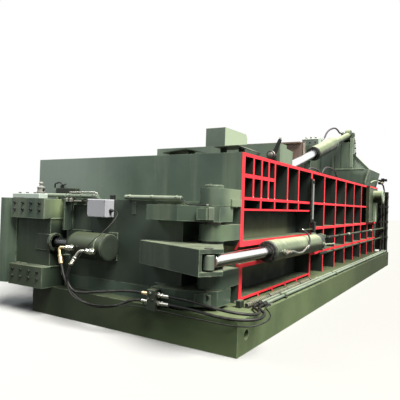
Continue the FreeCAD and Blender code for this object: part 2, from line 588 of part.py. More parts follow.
# ---------------------------------------------------------------- lock
def make_lock():
    left = LOCK_FRAME_RIGHT - LOCK_FRAME_WIDTH
    column = block(left, LOCK_FRAME_RIGHT, COLUMN_FACE_Y, COLUMN_BACK_Y, LOW_BLOCK[1], HIGH_BLOCK[0])
    half = LOCK_PIN_R + SOCKET_CLEAR
    socket = block(LOCK_FRAME_RIGHT - SOCKET_DEEP, LOCK_FRAME_RIGHT, -half, half, LOCK_Z - half, LOCK_Z + half)
    parts = [column.cut(socket)]
    high = block(left, LOCK_FRAME_RIGHT, BLOCK_FACE_Y, FRONT_PLATE_Y, *HIGH_BLOCK)
    parts.append(high.cut(jaw_pocket()))
    parts.append(block(left, LOCK_FRAME_RIGHT, BLOCK_FACE_Y, FRONT_PLATE_Y, *LOW_BLOCK))
    place("lock_frame", group(parts + collar_sectors(half)))

    bolts = []
    for z0, z1 in (HIGH_BLOCK, LOW_BLOCK):
        for row in (0.42, 0.76):
            for i in range(4):
                x = left + LOCK_FRAME_WIDTH * (0.12 + 0.25 * i)
                bolts.append(bolt_head(vec(x, BLOCK_FACE_Y, z0 + (z1 - z0) * row), -ALONG_Y))
    strip_top = HIGH_BLOCK[1] + STRIP_HIGH
    strip = block(left + 20, LOCK_FRAME_RIGHT - 110, BLOCK_FACE_Y, BLOCK_FACE_Y + 150,
                  HIGH_BLOCK[1], strip_top)
    tops = [bolt_head(vec(left + 90 + 170 * i, BLOCK_FACE_Y + 75, strip_top), UP) for i in range(3)]
    stub = rod(vec(left + 280, TUBE_Y, TUBE_Z), ALONG_X, TUBE_R, DOOR_LEFT - STUB_GAP - left - 280)
    rests = [block(left + x, left + x + 40, TUBE_Y - TUBE_R, TUBE_Y + TUBE_R, HIGH_BLOCK[1],
                   TUBE_Z - TUBE_R) for x in (320, 620)]
    place("lock_frame_bolts", group(bolts + [weld([strip] + tops), stub] + rests))

    post_x = left - ANCHOR_R
    post = rod(vec(post_x, ANCHOR_Y, LOW_BLOCK[0]), UP, ANCHOR_R, HIGH_BLOCK[1] - LOW_BLOCK[0])
    web = block(post_x, left, ANCHOR_Y - 80, ANCHOR_Y + 80, LOW_BLOCK[0], HIGH_BLOCK[1])
    place("lock_anchor_post", weld([post, web]))
    switch_x, switch_y = LOCK_FRAME_RIGHT - 170, BLOCK_FACE_Y + 75
    cap = rod(vec(switch_x, switch_y, strip_top), UP, SWITCH_R, 110)
    knob = rod(vec(switch_x, switch_y, strip_top + 110), UP, SWITCH_R - 16, 60)
    place("lock_limit_switch", weld([cap, knob]))

    barrel = rod(vec(LOCK_BARREL_LEFT, 0, LOCK_Z), ALONG_X, LOCK_BARREL_R,
                 LOCK_BARREL_RIGHT - LOCK_BARREL_LEFT)
    bore = rod(vec(LOCK_BARREL_LEFT, 0, LOCK_Z), ALONG_X, LOCK_PIN_R + RUNNING_FIT,
               LOCK_PIN_IN + LOCK_TRAVEL)
    barrel = barrel.cut(bore)
    body = barrel.makeChamfer(14, [e for e in barrel.Edges if is_rim(e)])
    feet = [block(x, x + 60, DOOR_FACE_Y - 60, DOOR_FACE_Y, LOCK_Z - 150, LOCK_Z + 150).cut(
        rod(vec(LOCK_BARREL_LEFT, 0, LOCK_Z), ALONG_X, LOCK_BARREL_R - 3, 900))
        for x in (LOCK_BARREL_LEFT + 90, LOCK_BARREL_RIGHT - 150)]
    place("lock_cylinder", weld([body] + feet))

    pin_left = LOCK_FRAME_RIGHT + COLLAR_LONG + PIN_CLEAR
    pin = rod(vec(pin_left, 0, LOCK_Z), ALONG_X, LOCK_PIN_R, LOCK_BARREL_LEFT + LOCK_PIN_IN - pin_left)
    nose = pin.makeChamfer(12, [e for e in pin.Edges if abs(e.BoundBox.XMax - pin_left) < 0.1])
    place("lock_pin", nose)


def jaw_pocket():
    """The pocket in the inner side of the upper block, with one round corner."""
    right = LOCK_FRAME_RIGHT
    corner = rod(vec(right - POCKET_DEEP, POCKET_Y, HIGH_BLOCK[0]), ALONG_X, POCKET_R, POCKET_DEEP)
    rest = block(right - POCKET_DEEP, right, POCKET_Y, POCKET_END, HIGH_BLOCK[0], HIGH_BLOCK[0] + POCKET_R)
    return weld([corner, rest])


def collar_sectors(inner):
    """The collar round the lock pin, in equal sectors, so that each is nearly convex."""
    centre = vec(LOCK_FRAME_RIGHT, 0, LOCK_Z)
    angle = 360.0 / COLLAR_SECTORS
    hole = rod(centre, ALONG_X, inner, COLLAR_LONG)
    sectors = []
    for i in range(COLLAR_SECTORS):
        sector = Part.makeCylinder(COLLAR_R, COLLAR_LONG, centre, ALONG_X, angle).cut(hole)
        sector.rotate(centre, ALONG_X, angle * i)
        sectors.append(sector)
    return sectors


def bolt_head(at, direction):
    return rod(at, direction, BOLT_R, BOLT_R)


def is_rim(edge):
    box = edge.BoundBox
    flat = box.XLength < 0.1
    return flat and abs(box.YLength - 2 * LOCK_BARREL_R) < 1.0


POCKET_R = 205.0
POCKET_Y = 75.0
POCKET_END = 420.0
POCKET_DEEP = 360.0
STRIP_HIGH = 70.0
STUB_GAP = 20.0
SWITCH_R = 58.0
HIGH_BLOCK = (1385.0, 1670.0)
LOW_BLOCK = (BASE_HEIGHT, 700.0)
BLOCK_FACE_Y = -205.0
COLUMN_FACE_Y = -77.0
COLUMN_BACK_Y = 223.0
SOCKET_CLEAR = 20.0
COLLAR_SECTORS = 8
SOCKET_DEEP = 260.0
COLLAR_R = 130.0
COLLAR_LONG = 40.0
PIN_CLEAR = 15.0
LOCK_PIN_IN = 280.0
ANCHOR_R = 190.0
ANCHOR_Y = -15.0


# ---------------------------------------------------------------- door fittings
def make_door_fittings():
    box_y = DOOR_FACE_Y - BOX_DEEP
    case = block(BOX_LEFT, BOX_LEFT + BOX_WIDE, box_y, DOOR_FACE_Y, BOX_BOTTOM, BOX_BOTTOM + BOX_HIGH)
    entry = rod(vec(BOX_LEFT + BOX_WIDE, box_y + 90, BOX_BOTTOM + 95), ALONG_X, 24, 45)
    place("junction_box", group([case, entry]))

    runs = [((DOOR_LEFT + 5, TUBE_Y, TUBE_Z), (-560, TUBE_Y, TUBE_Z)),
            ((-90, TUBE_Y + 30, TUBE_Z), (DOOR_RIGHT - 5, TUBE_Y + 30, TUBE_Z))]
    tubes = [rod(vec(*a), ALONG_X, TUBE_R, b[0] - a[0]) for a, b in runs]
    clips = []
    for x in (DOOR_LEFT + 60, DOOR_LEFT + 160, -640):
        clips.append(block(x, x + 30, TUBE_Y + TUBE_R, DOOR_FACE_Y + 60, DOOR_TOP, TUBE_Z + TUBE_R))
    for x in (0, 400, 700):
        clips.append(block(x, x + 30, TUBE_Y + 30 + TUBE_R, DOOR_FACE_Y + 60, DOOR_TOP, TUBE_Z + TUBE_R))
    plug = block(-420, -350, DOOR_FACE_Y + 10, DOOR_FACE_Y + 60, DOOR_TOP, DOOR_TOP + 60)
    place("door_top_conduits", group(tubes + clips + [plug]))

    body = block(MANIFOLD_X, MANIFOLD_X + MANIFOLD_WIDE, PLATE_FACE_Y - MANIFOLD_DEEP, PLATE_FACE_Y,
                 MANIFOLD_BOTTOM, MANIFOLD_TOP)
    place("hose_manifold", body)
    fittings = []
    for z in MANIFOLD_PORTS:
        fittings.append(rod(vec(MANIFOLD_X, MANIFOLD_Y, z), -ALONG_X, FITTING_R, FITTING_LONG))
        fittings.append(rod(vec(MANIFOLD_X + MANIFOLD_WIDE, MANIFOLD_Y, z), ALONG_X,
                            FITTING_R + 2, FITTING_LONG + 60))
    place("manifold_fittings", group(fittings))

    core = rod(vec(LOCK_BARREL_LEFT, 0, LOCK_Z), ALONG_X, LOCK_BARREL_R, 800)
    elbows = []
    for x, z, tip, radius in LOCK_PORTS:
        boss = rod(vec(x + 190, 0, z), -ALONG_Y, 44, -PORT_Y).cut(core)
        body = rod(vec(x + 110, PORT_Y, z), ALONG_X, radius + 8, 150).cut(core)
        bend = tube_along([(x + 110, PORT_Y, z), (x, PORT_Y - 10, z), tip], radius, bend=62)
        elbows.append(group([weld([boss, body]), bend]))
    place("lock_port_elbows", group(elbows))


BOX_LEFT = -665.0
BOX_WIDE = 350.0
BOX_DEEP = 170.0
BOX_BOTTOM = 1440.0
BOX_HIGH = 245.0
TUBE_R = 30.0
TUBE_Y = 120.0
TUBE_Z = 1724.0
MANIFOLD_X = 548.0
MANIFOLD_WIDE = 120.0
MANIFOLD_DEEP = 120.0
MANIFOLD_BOTTOM = 376.0
MANIFOLD_TOP = 625.0
MANIFOLD_Y = PLATE_FACE_Y - MANIFOLD_DEEP / 2
MANIFOLD_PORTS = (468.0, 562.0)
FITTING_R = 22.0
FITTING_LONG = 90.0
PORT_Y = -(LOCK_BARREL_R + 32.0)
LOCK_PORTS = ((-905.0, 1022.0, (-845.0, PORT_Y - 30, 872.0), 22.0),
              (-520.0, 1004.0, (-590.0, PORT_Y - 40, 872.0), 20.0))


# ---------------------------------------------------------------- lid
def make_lid():
    """A deep box lid between the walls, hinged at its rear; plates are separate solids."""
    x0 = LEFT_WALL_X + LID_SIDE_GAP
    x1 = WALL_SHEET_X - LID_SIDE_GAP
    side = LID_SIDE_PLATE
    top = LID_SKIN_Z - LID_SKIN
    pan = block(x0, x1, LID_TOE_Y, LID_REAR_Y, LID_BOTTOM, LID_BOTTOM + LID_SKIN)
    toe = [(LID_TOE_Y, LID_BOTTOM + LID_SKIN), (LID_FRONT_Y + 10, LID_HINGE_Z),
           (LID_FRONT_Y + 10, LID_SKIN_Z), (LID_FRONT_Y + 55, LID_SKIN_Z),
           (LID_FRONT_Y + 55, LID_HINGE_Z), (LID_TOE_Y + 45, LID_BOTTOM + LID_SKIN)]
    plates = [pan, plate_across(toe, x0, x1)]
    flank = [(LID_TOE_Y + 45, LID_BOTTOM + LID_SKIN), (LID_FRONT_Y + 55, LID_HINGE_Z),
             (LID_FRONT_Y + 55, top), (LID_HINGE_Y, LID_HINGE_Z + LID_KNUCKLE_R),
             (LID_HINGE_Y, LID_HINGE_Z - LID_KNUCKLE_R), (LID_REAR_Y, LID_BOTTOM + LID_SKIN)]
    for x in (x0, x1 - side):
        plate = plate_across(flank, x, x + side)
        knuckle = rod(vec(x, LID_HINGE_Y, LID_HINGE_Z), ALONG_X, LID_KNUCKLE_R, side)
        bore = rod(vec(x, LID_HINGE_Y, LID_HINGE_Z), ALONG_X, LID_PIN_R + RUNNING_FIT, side)
        plates.append(weld([plate, knuckle]).cut(bore))
    for y in LID_RIBS:
        plates.append(block(x0 + side, x1 - side, y, y + 40, LID_BOTTOM + LID_SKIN, top))
    plates.append(block(x0, x1, LID_FRONT_Y + 55, LID_SKIN_END, top, LID_SKIN_Z))
    place("lid_shell", group(plates))

    face = block(LEFT_WALL_X, LID_RIGHT, LID_FRONT_Y, LID_FRONT_Y + 45, LID_RIM_Z, LID_FACE_TOP)
    shelf = block(x0, x1, LID_FRONT_Y + 45, LID_FRONT_Y + 130, LID_SKIN_Z, LID_SKIN_Z + 35)
    steps = [(LID_FRONT_Y + 45, LID_RIM_Z), (LID_STEPS[1], LID_RIM_Z), (LID_STEPS[1], 2575.0),
             (LID_STEPS[0], 2590.0), (LID_STEPS[0], LID_FACE_TOP), (LID_FRONT_Y + 45, LID_FACE_TOP)]
    cheek = plate_across(steps, LID_RIGHT - 40, LID_RIGHT)
    brace = block(x1, LID_RIGHT - 40, LID_STEPS[1] - 40, LID_STEPS[1], LID_RIM_Z, 2570.0)
    tie = block(x1 - 60, x1, LID_STEPS[1] - 40, LID_STEPS[1], LID_SKIN_Z, 2570.0)
    place("lid_upstands", group([face, shelf, cheek, weld([brace, tie])]))

    y0, y1 = LID_BLOCK_Y
    outline = [(y0, LID_SKIN_Z), (y1, LID_SKIN_Z), (y1, 2930.0), (y1 - 60, LID_BLOCK_TOP),
               (y0, LID_BLOCK_TOP)]
    place("lid_ballast", plate_across(outline, LID_BLOCK_X[0], LID_BLOCK_X[1]))

    wall = block(x0 + side, LID_WALL_RIGHT, LID_WALL_Y, LID_WALL_Y + 40, top, LID_WALL_TOP)
    flange = block(x0 + side, LID_WALL_RIGHT, LID_WALL_Y - 60, LID_WALL_Y, LID_WALL_TOP - 30,
                   LID_WALL_TOP)
    place("lid_rear_wall", weld([wall, flange]))

    foot = top - 500
    cheek = [(LID_EYE_Y - 200, foot), (LID_EYE_Y + 420, foot), (LID_EYE_Y + 80, LID_EYE_Z),
             (LID_EYE_Y + 70, LID_EYE_Z + 70), (LID_EYE_Y - 70, LID_EYE_Z + 70),
             (LID_EYE_Y - 100, LID_EYE_Z)]
    gap = LID_ROD_R + LUG_CLEAR
    left = plate_across(cheek, LID_CYL_X - gap - 45, LID_CYL_X - gap)
    right = plate_across(cheek, LID_CYL_X + gap, x1 - side)
    sole = block(LID_CYL_X - gap - 45, x1 - side, LID_EYE_Y - 100, LID_EYE_Y + 340, foot - 40, foot)
    leg = block(LID_CYL_X - gap - 45, LID_CYL_X - gap, LID_EYE_Y - 100, LID_EYE_Y + 340,
                LID_BOTTOM + LID_SKIN, foot - 40)
    place("lid_lug", weld([left, right, sole, leg]))

    pin = rod(vec(LEFT_WALL_X, LID_HINGE_Y, LID_HINGE_Z), ALONG_X, LID_PIN_R,
              WALL_SHEET_X - LEFT_WALL_X)
    place("lid_hinge_pin", pin)


LID_SIDE_GAP = 8.0
LID_SIDE_PLATE = 40.0
LID_SKIN = 40.0
LID_SKIN_Z = 2350.0
LID_RIM_Z = 2355.0
LID_FACE_TOP = 2645.0
LID_TOE_Y = 2160.0
LID_REAR_Y = 5160.0
LID_STEPS = (2340.0, 2625.0)
LID_SKIN_END = 3250.0
LID_WALL_Y = 4960.0
LID_RIBS = (2700.0, 3230.0, 4150.0, 4600.0, LID_WALL_Y)
LID_KNUCKLE_R = 85.0
LID_PIN_R = 45.0
LID_BLOCK_X = (-170.0, 215.0)
LID_BLOCK_Y = (2300.0, 3170.0)
LID_BLOCK_TOP = 3000.0
LID_WALL_TOP = 3100.0
LID_WALL_RIGHT = 650.0
LUG_CLEAR = 12.0


# ---------------------------------------------------------------- lid cylinder
def make_lid_cylinder():
    """Drawn level on the lid cylinder's line, then tilted onto it about the rear pivot."""
    eye = vec(LID_CYL_X, LID_EYE_Y, LID_EYE_Z)
    pivot = vec(LID_CYL_X, LID_PIVOT_Y, LID_PIVOT_Z)
    reach = eye.distanceToPoint(pivot)
    along = pivot.sub(eye).normalize()

    def at(distance):
        return eye.add(along * distance)

    def tilted(shape):
        angle = math.degrees(math.atan2(along.z, along.y))
        shape.rotate(pivot, ALONG_X, angle)
        return shape

    flat_y = LID_PIVOT_Y - reach
    head = rod(vec(LID_CYL_X - LID_ROD_R, flat_y, LID_PIVOT_Z), ALONG_X, LID_EYE_R, 2 * LID_ROD_R)
    shaft = rod(vec(LID_CYL_X, flat_y, LID_PIVOT_Z), ALONG_Y, LID_ROD_R, LID_GLAND_AT + LID_ROD_STAY)
    place("lid_cylinder_rod", tilted(weld([head, shaft])))

    length = LID_BARREL_END - LID_GLAND_AT
    barrel = rod(at(LID_GLAND_AT), along, LID_BARREL_R, length)
    dome = Part.makeCone(LID_BARREL_R, LID_TAIL_R, 90, at(LID_BARREL_END), along)
    tail = rod(at(LID_BARREL_END + 90), along, LID_TAIL_R, reach - LID_BARREL_END - 90)
    boss = rod(vec(LID_CYL_X - TAIL_EYE_HALF, LID_PIVOT_Y, LID_PIVOT_Z), ALONG_X, TAIL_EYE_R,
               2 * TAIL_EYE_HALF)
    bore = rod(at(LID_GLAND_AT), along, LID_ROD_R + RUNNING_FIT, length - 60)
    pin_hole = rod(vec(LID_CYL_X - LID_TAIL_R, LID_PIVOT_Y, LID_PIVOT_Z), ALONG_X,
                   POST_PIN_R + RUNNING_FIT, 2 * LID_TAIL_R)
    body = weld([barrel, dome, tail, boss]).cut(bore).cut(pin_hole)
    place("lid_cylinder_barrel", body)
    gland = pipe_ring(at(LID_GLAND_AT - 45), along, LID_BARREL_R - 5, LID_ROD_R + RUNNING_FIT, 45)
    place("lid_cylinder_gland", gland)

    port = LID_GLAND_AT + VALVE_AT
    valve_y = LID_PIVOT_Y - reach + port
    valve = block(VALVE_X, LID_CYL_X, valve_y, valve_y + 230, LID_PIVOT_Z - 60, LID_PIVOT_Z + 280)
    hose_x = LID_CYL_X - HOSE_OFFSET
    post_y = valve_y + 300
    fitting = rod(vec(hose_x, post_y, LID_PIVOT_Z + 60), UP, 34, ARCH_FOOT + 30 - 60)
    link = rod(vec(hose_x, post_y, LID_PIVOT_Z + ARCH_FOOT), ALONG_Y, 27, ARCH_START)
    core = rod(vec(LID_CYL_X, flat_y, LID_PIVOT_Z), ALONG_Y, LID_BARREL_R, reach)
    end_y = LID_PIVOT_Y - ARCH_END
    socket = rod(vec(hose_x, end_y, LID_PIVOT_Z + ARCH_TAIL), ALONG_Y, 30, 110)
    lug = block(hose_x - 20, hose_x + 50, end_y + 20, end_y + 80, LID_PIVOT_Z - 20, LID_PIVOT_Z + ARCH_TAIL)
    tail_core = rod(vec(LID_CYL_X, flat_y, LID_PIVOT_Z), ALONG_Y, LID_TAIL_R, reach)
    union = weld([socket, lug]).cut(tail_core)
    fittings = (valve.cut(core), weld([fitting, link]).cut(core), union)
    place("lid_cylinder_valve", group([tilted(p) for p in fittings]))

    hose = tube_along(level_arch(post_y + ARCH_START, end_y), HOSE_R + 4, "lid cylinder hose")
    place("lid_cylinder_hose", tilted(hose))


def level_arch(start, end):
    """The lid cylinder hose's route, in the level drawing, from the valve to the tail."""
    x = LID_CYL_X - HOSE_OFFSET
    foot = LID_PIVOT_Z + ARCH_FOOT
    return [(x, start, foot), (x, start + 170, foot), (x, start + 350, foot + 105),
            (x, start + 670, foot + 160), (x, start + 1170, foot + 150), (x, end - 380, foot + 50),
            (x, end - 190, LID_PIVOT_Z + ARCH_TAIL), (x, end, LID_PIVOT_Z + ARCH_TAIL)]


LID_EYE_R = 110.0
LID_GLAND_AT = 1860.0
LID_ROD_STAY = 150.0
LID_BARREL_END = 3460.0
LID_TAIL_R = 82.0
TAIL_EYE_R = 150.0
TAIL_EYE_HALF = 70.0
VALVE_X = 450.0
VALVE_AT = 380.0
HOSE_OFFSET = 95.0
ARCH_FOOT = 185.0
ARCH_START = 363.0
ARCH_TAIL = 115.0
ARCH_END = 370.0


def make_rear_frame():
    """The beam across the back, the post that holds the lid cylinder and its gussets."""
    beam = [(LEFT_OUT_X, WALL_TOP), (RIB_FACE_X, WALL_TOP), (RIB_FACE_X + 100, BEAM_TOP),
            (LEFT_OUT_X, BEAM_TOP)]
    place("rear_beam", plate_back(beam, BEAM_Y, BEAM_Y + BEAM_DEEP))

    cheeks = []
    lug_top = LID_PIVOT_Z + 60
    for x in (POST_X[0], POST_X[1] - POST_CHEEK):
        side = block(x, x + POST_CHEEK, BEAM_Y, BEAM_Y + POST_DEEP, BEAM_TOP, POST_TOP)
        ear = block(x, x + POST_CHEEK, LID_PIVOT_Y - 55, LID_PIVOT_Y + 55, POST_TOP, lug_top)
        cheeks.append(weld([side, ear]))
    pin_z = LID_PIVOT_Z
    pin = rod(vec(POST_X[0] + POST_CHEEK, LID_PIVOT_Y, pin_z), ALONG_X, POST_PIN_R,
              POST_X[1] - POST_X[0] - 2 * POST_CHEEK)
    front = block(POST_X[0] + POST_CHEEK, POST_X[1] - POST_CHEEK, BEAM_Y, BEAM_Y + 40,
                  BEAM_TOP, POST_FRONT_TOP)
    web_y = BEAM_Y + 60
    gusset = plate_back([(POST_X[1], BEAM_TOP), (RIB_FACE_X + 100, BEAM_TOP),
                         (POST_X[1], GUSSET_TOP)], web_y, web_y + 50)
    web = block(WEB_X, POST_X[0], web_y, web_y + 50, BEAM_TOP, WEB_TOP)
    low_web = block(LOW_WEB_X, WEB_X, web_y, web_y + 50, BEAM_TOP, LOW_WEB_TOP)
    stiffener = block(WEB_X - 40, WEB_X, web_y - 120, web_y, BEAM_TOP, LOW_WEB_TOP)
    place("lid_cylinder_post", group([weld(cheeks + [pin, front, gusset, web]),
                                      weld([low_web, stiffener])]))


BEAM_Y = 8360.0
BEAM_DEEP = 1740.0
BEAM_TOP = 2800.0
POST_X = (670.0, 985.0)
POST_CHEEK = 60.0
POST_DEEP = 220.0
POST_TOP = 3700.0
POST_FRONT_TOP = 3560.0
POST_PIN_R = 45.0
GUSSET_TOP = 3250.0
WEB_X = 470.0
WEB_TOP = 3600.0
LOW_WEB_X = -300.0
LOW_WEB_TOP = 3200.0


# ---------------------------------------------------------------- outside fittings
def make_side_pipes():
    pipes = []
    for x, z, start in ((HIGH_PIPE_X, HIGH_PIPE_Z, BRACKET_END), (LOW_PIPE_X, LOW_PIPE_Z, BAY_BACK)):
        pipes.append(rod(vec(x, start, z), ALONG_Y, PIPE_R, PIPE_END - start))
    for x in BASE_PIPE_X:
        pipes.append(rod(vec(x, BASE_PIPE_START, BASE_PIPE_Z), ALONG_Y, PIPE_R, PIPE_END - BASE_PIPE_START))
    for x in BASE_PIPE_X:
        pipes.append(rod(vec(x, BASE_PIPE_START - HOSE_END, BASE_PIPE_Z), ALONG_Y, PIPE_R + 7, HOSE_END))
    pipes.append(rod(vec(*THIN_END), ALONG_Y, 13, 70))
    pipes.append(rod(vec(DROP_X, DROP_Y, DROP_Z), UP, PIPE_R, 770))
    feed_y = FEED_START_Y + FEED_FITTING
    pipes.append(rod(vec(FEED_X, feed_y, FEED_Z), ALONG_Y, FEED_R, DROP_Y - 45 - feed_y))
    fitting = rod(vec(FEED_X, FEED_START_Y, FEED_Z), ALONG_Y, FEED_R + 10, FEED_FITTING)
    pipes.append(fitting)
    place("side_pipes", group(pipes))

    clamps = []
    for y in HIGH_CLAMPS_Y:
        clamps.append(clamp(RIB_FACE_X, HIGH_PIPE_X, y, HIGH_PIPE_Z))
    for y in LOW_CLAMPS_Y:
        clamps.append(clamp(RIB_FACE_X, LOW_PIPE_X, y, LOW_PIPE_Z))
    for y in BASE_CLAMPS_Y:
        saddle = block(BASE_PIPE_X[0] - 45, BASE_PIPE_X[1] + 40, y, y + 60, BASE_HEIGHT, BASE_PIPE_Z + 35)
        for x in BASE_PIPE_X:
            saddle = saddle.cut(rod(vec(x, y, BASE_PIPE_Z), ALONG_Y, PIPE_R, 60))
        clamps.append(saddle)
    tee = block(RIB_FACE_X, FEED_X + 45, DROP_Y - 45, DROP_Y + 45, FEED_Z - 50, DROP_Z)
    clamps.append(tee)
    for i in range(len(WALL_ARCHES)):
        path = wall_arch(i)
        for end, inner in ((path[0], path[1]), (path[-1], path[-2])):
            back = vec(*end).sub(vec(*inner)).normalize()
            union = rod(vec(*end), back, HOSE_R + 8, UNION_LONG)
            x, y = end[0], end[1]
            foot = block(x - 20, x + 20, y - 20, y + 20, WALL_TOP, WALL_TOP + 20)
            clamps.append(weld([union, foot]))
    place("pipe_clamps", group(clamps))

    tray = block(TRAY_X, TRAY_X + 60, TRAY_Y[0], TRAY_Y[1], BASE_HEIGHT, BASE_HEIGHT + 50)
    place("hose_tray", tray)

    risers = []
    for i, x in enumerate(RISER_X):
        risers.append(rod(vec(x, RISER_Y, BASE_HEIGHT), UP, RISER_R, RISER_TOP - BASE_HEIGHT - 110 * i))
    for z in RISER_COLLARS_Z:
        risers.append(block(RISER_X[0] - 45, RISER_X[2] + 45, RISER_Y - 30, RISER_Y + 45, z, z + 50))
    for x, z in ((LOW_PIPE_X, LOW_PIPE_Z), (HIGH_PIPE_X, HIGH_PIPE_Z), (BASE_PIPE_X[0], BASE_PIPE_Z),
                 (BASE_PIPE_X[1], BASE_PIPE_Z)):
        risers.append(block(x - 35, x + 35, PIPE_END, RISER_Y, z - 35, z + 35))
    place("rear_risers", weld(risers))

    panel = block(RIB_FACE_X, RIB_FACE_X + 80, CABINET_Y[0], CABINET_Y[1], 1320, WALL_TOP)
    boss = rod(vec(RIB_FACE_X + 80, CABINET_BOSS_Y, 2050), ALONG_X, 170, 70)
    place("side_cabinet", weld([panel, boss]))

    folds = []
    for fold in DECK_SHEETS:
        skin = [(x, WALL_TOP + z) for x, z in fold]
        under = [(x, z - 12) for x, z in reversed(skin)]
        sheet = plate_back(skin + under, SHEET_Y, SHEET_Y + 360)
        legs = [block(x, x + 12, SHEET_Y + 150, SHEET_Y + 330, WALL_TOP, WALL_TOP + z - 10)
                for x, z in ((fold[0][0] + 20, fold[0][1]), (fold[1][0] - 60, fold[1][1] - 10))]
        folds.append(weld([sheet] + legs))
    place("deck_sheets", group(folds))

    arm = plate_across([(1960, WALL_TOP), (2020, WALL_TOP), (2035, 2660), (1990, 2660)], 1235, 1260)
    ball = rod(vec(1260, CATCH_Y, 2440), ALONG_X, 62, 50)
    place("lid_catch", weld([arm, ball]))


def wall_arch(i):
    """The route of a hose that arches along the top of the right wall."""
    y0, y1, rise = WALL_ARCHES[i]
    x = WALL_ARCH_X + 45 * i
    third = (y1 - y0) / 3
    foot = WALL_TOP + UNION_HIGH
    return [(x, y0, foot), (x, y0 + third / 3, foot + 0.7 * rise), (x, y0 + third, foot + rise),
            (x, y1 - third, foot + rise), (x, y1 - third / 3, foot + 0.7 * rise), (x, y1, foot)]


def clamp(wall_x, pipe_x, y, z):
    """A stand-off bar from the wall with a block that grips the pipe."""
    bar = block(wall_x, pipe_x - 40, y, y + 40, z - 20, z + 20)
    jaw = block(pipe_x - 40, pipe_x + 40, y, y + 40, z - 40, z + 40)
    return weld([bar, jaw]).cut(rod(vec(pipe_x, y, z), ALONG_Y, PIPE_R, 40))


BRACKET_END = 3930.0
DROP_X = 1345.0
DROP_Y = 3672.0
DROP_Z = 1410.0
FEED_X = 1355.0
FEED_Z = 1275.0
FEED_R = 14.0
FEED_FITTING = 90.0
FEED_START_Y = 3060.0
HIGH_PIPE_X = 1550.0
HIGH_PIPE_Z = 1125.0
LOW_PIPE_X = 1480.0
LOW_PIPE_Z = 830.0
BASE_PIPE_X = (1580.0, 1650.0)
BASE_PIPE_Z = 440.0
BASE_PIPE_START = 880.0
PIPE_END = 10100.0
HIGH_CLAMPS_Y = (4760.0, 6900.0, 9300.0)
LOW_CLAMPS_Y = (4600.0, 7050.0, 9050.0)
BASE_CLAMPS_Y = (1500.0, 4200.0, 7000.0, 9600.0)
TRAY_X = 1470.0
TRAY_Y = (620.0, 3140.0)
RISER_X = (LOW_PIPE_X, HIGH_PIPE_X, 1640.0)
RISER_Y = 10165.0
RISER_R = 32.0
RISER_TOP = 2240.0
RISER_COLLARS_Z = (840.0, 1300.0, 1760.0)
CABINET_Y = (8680.0, 9880.0)
CABINET_BOSS_Y = 9350.0
SHEET_Y = 1200.0
DECK_SHEETS = (((-280.0, 100.0), (150.0, 148.0), (400.0, 92.0)),
               ((640.0, 155.0), (1020.0, 160.0), (1210.0, 85.0)))
CATCH_Y = 1990.0


# ---------------------------------------------------------------- cords
def make_cords():
    tip_a, tip_b = LOCK_PORTS[0][2], LOCK_PORTS[1][2]
    y = tip_a[1]
    left = MANIFOLD_X - FITTING_LONG
    low, high = MANIFOLD_PORTS
    hose_a = tube_along([tip_a, (-783, y - 21, 717), (-700, y - 20, 575), (-585, y - 15, 445),
                         (-400, y, 352), (-140, y + 15, 322), (110, y + 85, 365),
                         (300, MANIFOLD_Y, low), (left, MANIFOLD_Y, low)], HOSE_R, "lock hose A")
    hose_b = tube_along([tip_b, (-653, y - 37, 753), (-690, y - 24, 597), (-590, y - 12, 475),
                         (-420, y - 4, 470), (-160, y + 12, 515), (130, y + 100, 553),
                         (310, MANIFOLD_Y, high), (left, MANIFOLD_Y, high)], HOSE_R, "lock hose B")
    place("lock_hoses", group([hose_a, hose_b]))

    cable = tube_along([CABLE_START] + CABLE_PATH, CABLE_R, "sensor cable")
    place("sensor_cable", cable)

    right = MANIFOLD_X + MANIFOLD_WIDE + FITTING_LONG + 60
    inner, outer = BASE_PIPE_X
    end_y = BASE_PIPE_START - HOSE_END
    corner_a = tube_along([(right, MANIFOLD_Y, high), (1120, MANIFOLD_Y, high),
                           (1420, MANIFOLD_Y - 10, 525), (1700, MANIFOLD_Y + 40, 495),
                           (1845, 150, 465), (1800, 380, 452), (1665, 515, BASE_PIPE_Z),
                           (inner, end_y - 150, BASE_PIPE_Z), (inner, end_y, BASE_PIPE_Z)],
                          HOSE_R, "corner hose, upper")
    corner_b = tube_along([(right, MANIFOLD_Y, low), (1120, MANIFOLD_Y, low),
                           (1430, MANIFOLD_Y - 15, 440), (1720, MANIFOLD_Y, 434),
                           (1905, 90, 434), (1875, 360, 438), (1735, 515, BASE_PIPE_Z),
                           (outer, end_y - 150, BASE_PIPE_Z), (outer, end_y, BASE_PIPE_Z)],
                          HOSE_R, "corner hose, lower")
    thin = tube_along(THIN_PATH, THIN_R, "corner tube, thin")
    place("corner_hoses", group([corner_a, corner_b, thin]))

    fixed = (FEED_X, FEED_START_Y, FEED_Z)
    loop = tube_along([CYL_HOSE_START, (1662, 2594, 1086.8), (1600, 2700, 1230), (1500, 2760, 1285),
                       (1400, 2830, 1292), (FEED_X, 2945, FEED_Z), fixed], 14, "door cylinder hose")
    place("door_cylinder_hose", loop)

    arches = [tube_along(wall_arch(i), HOSE_R, "wall top hose") for i in range(len(WALL_ARCHES))]
    place("wall_top_hoses", group(arches))


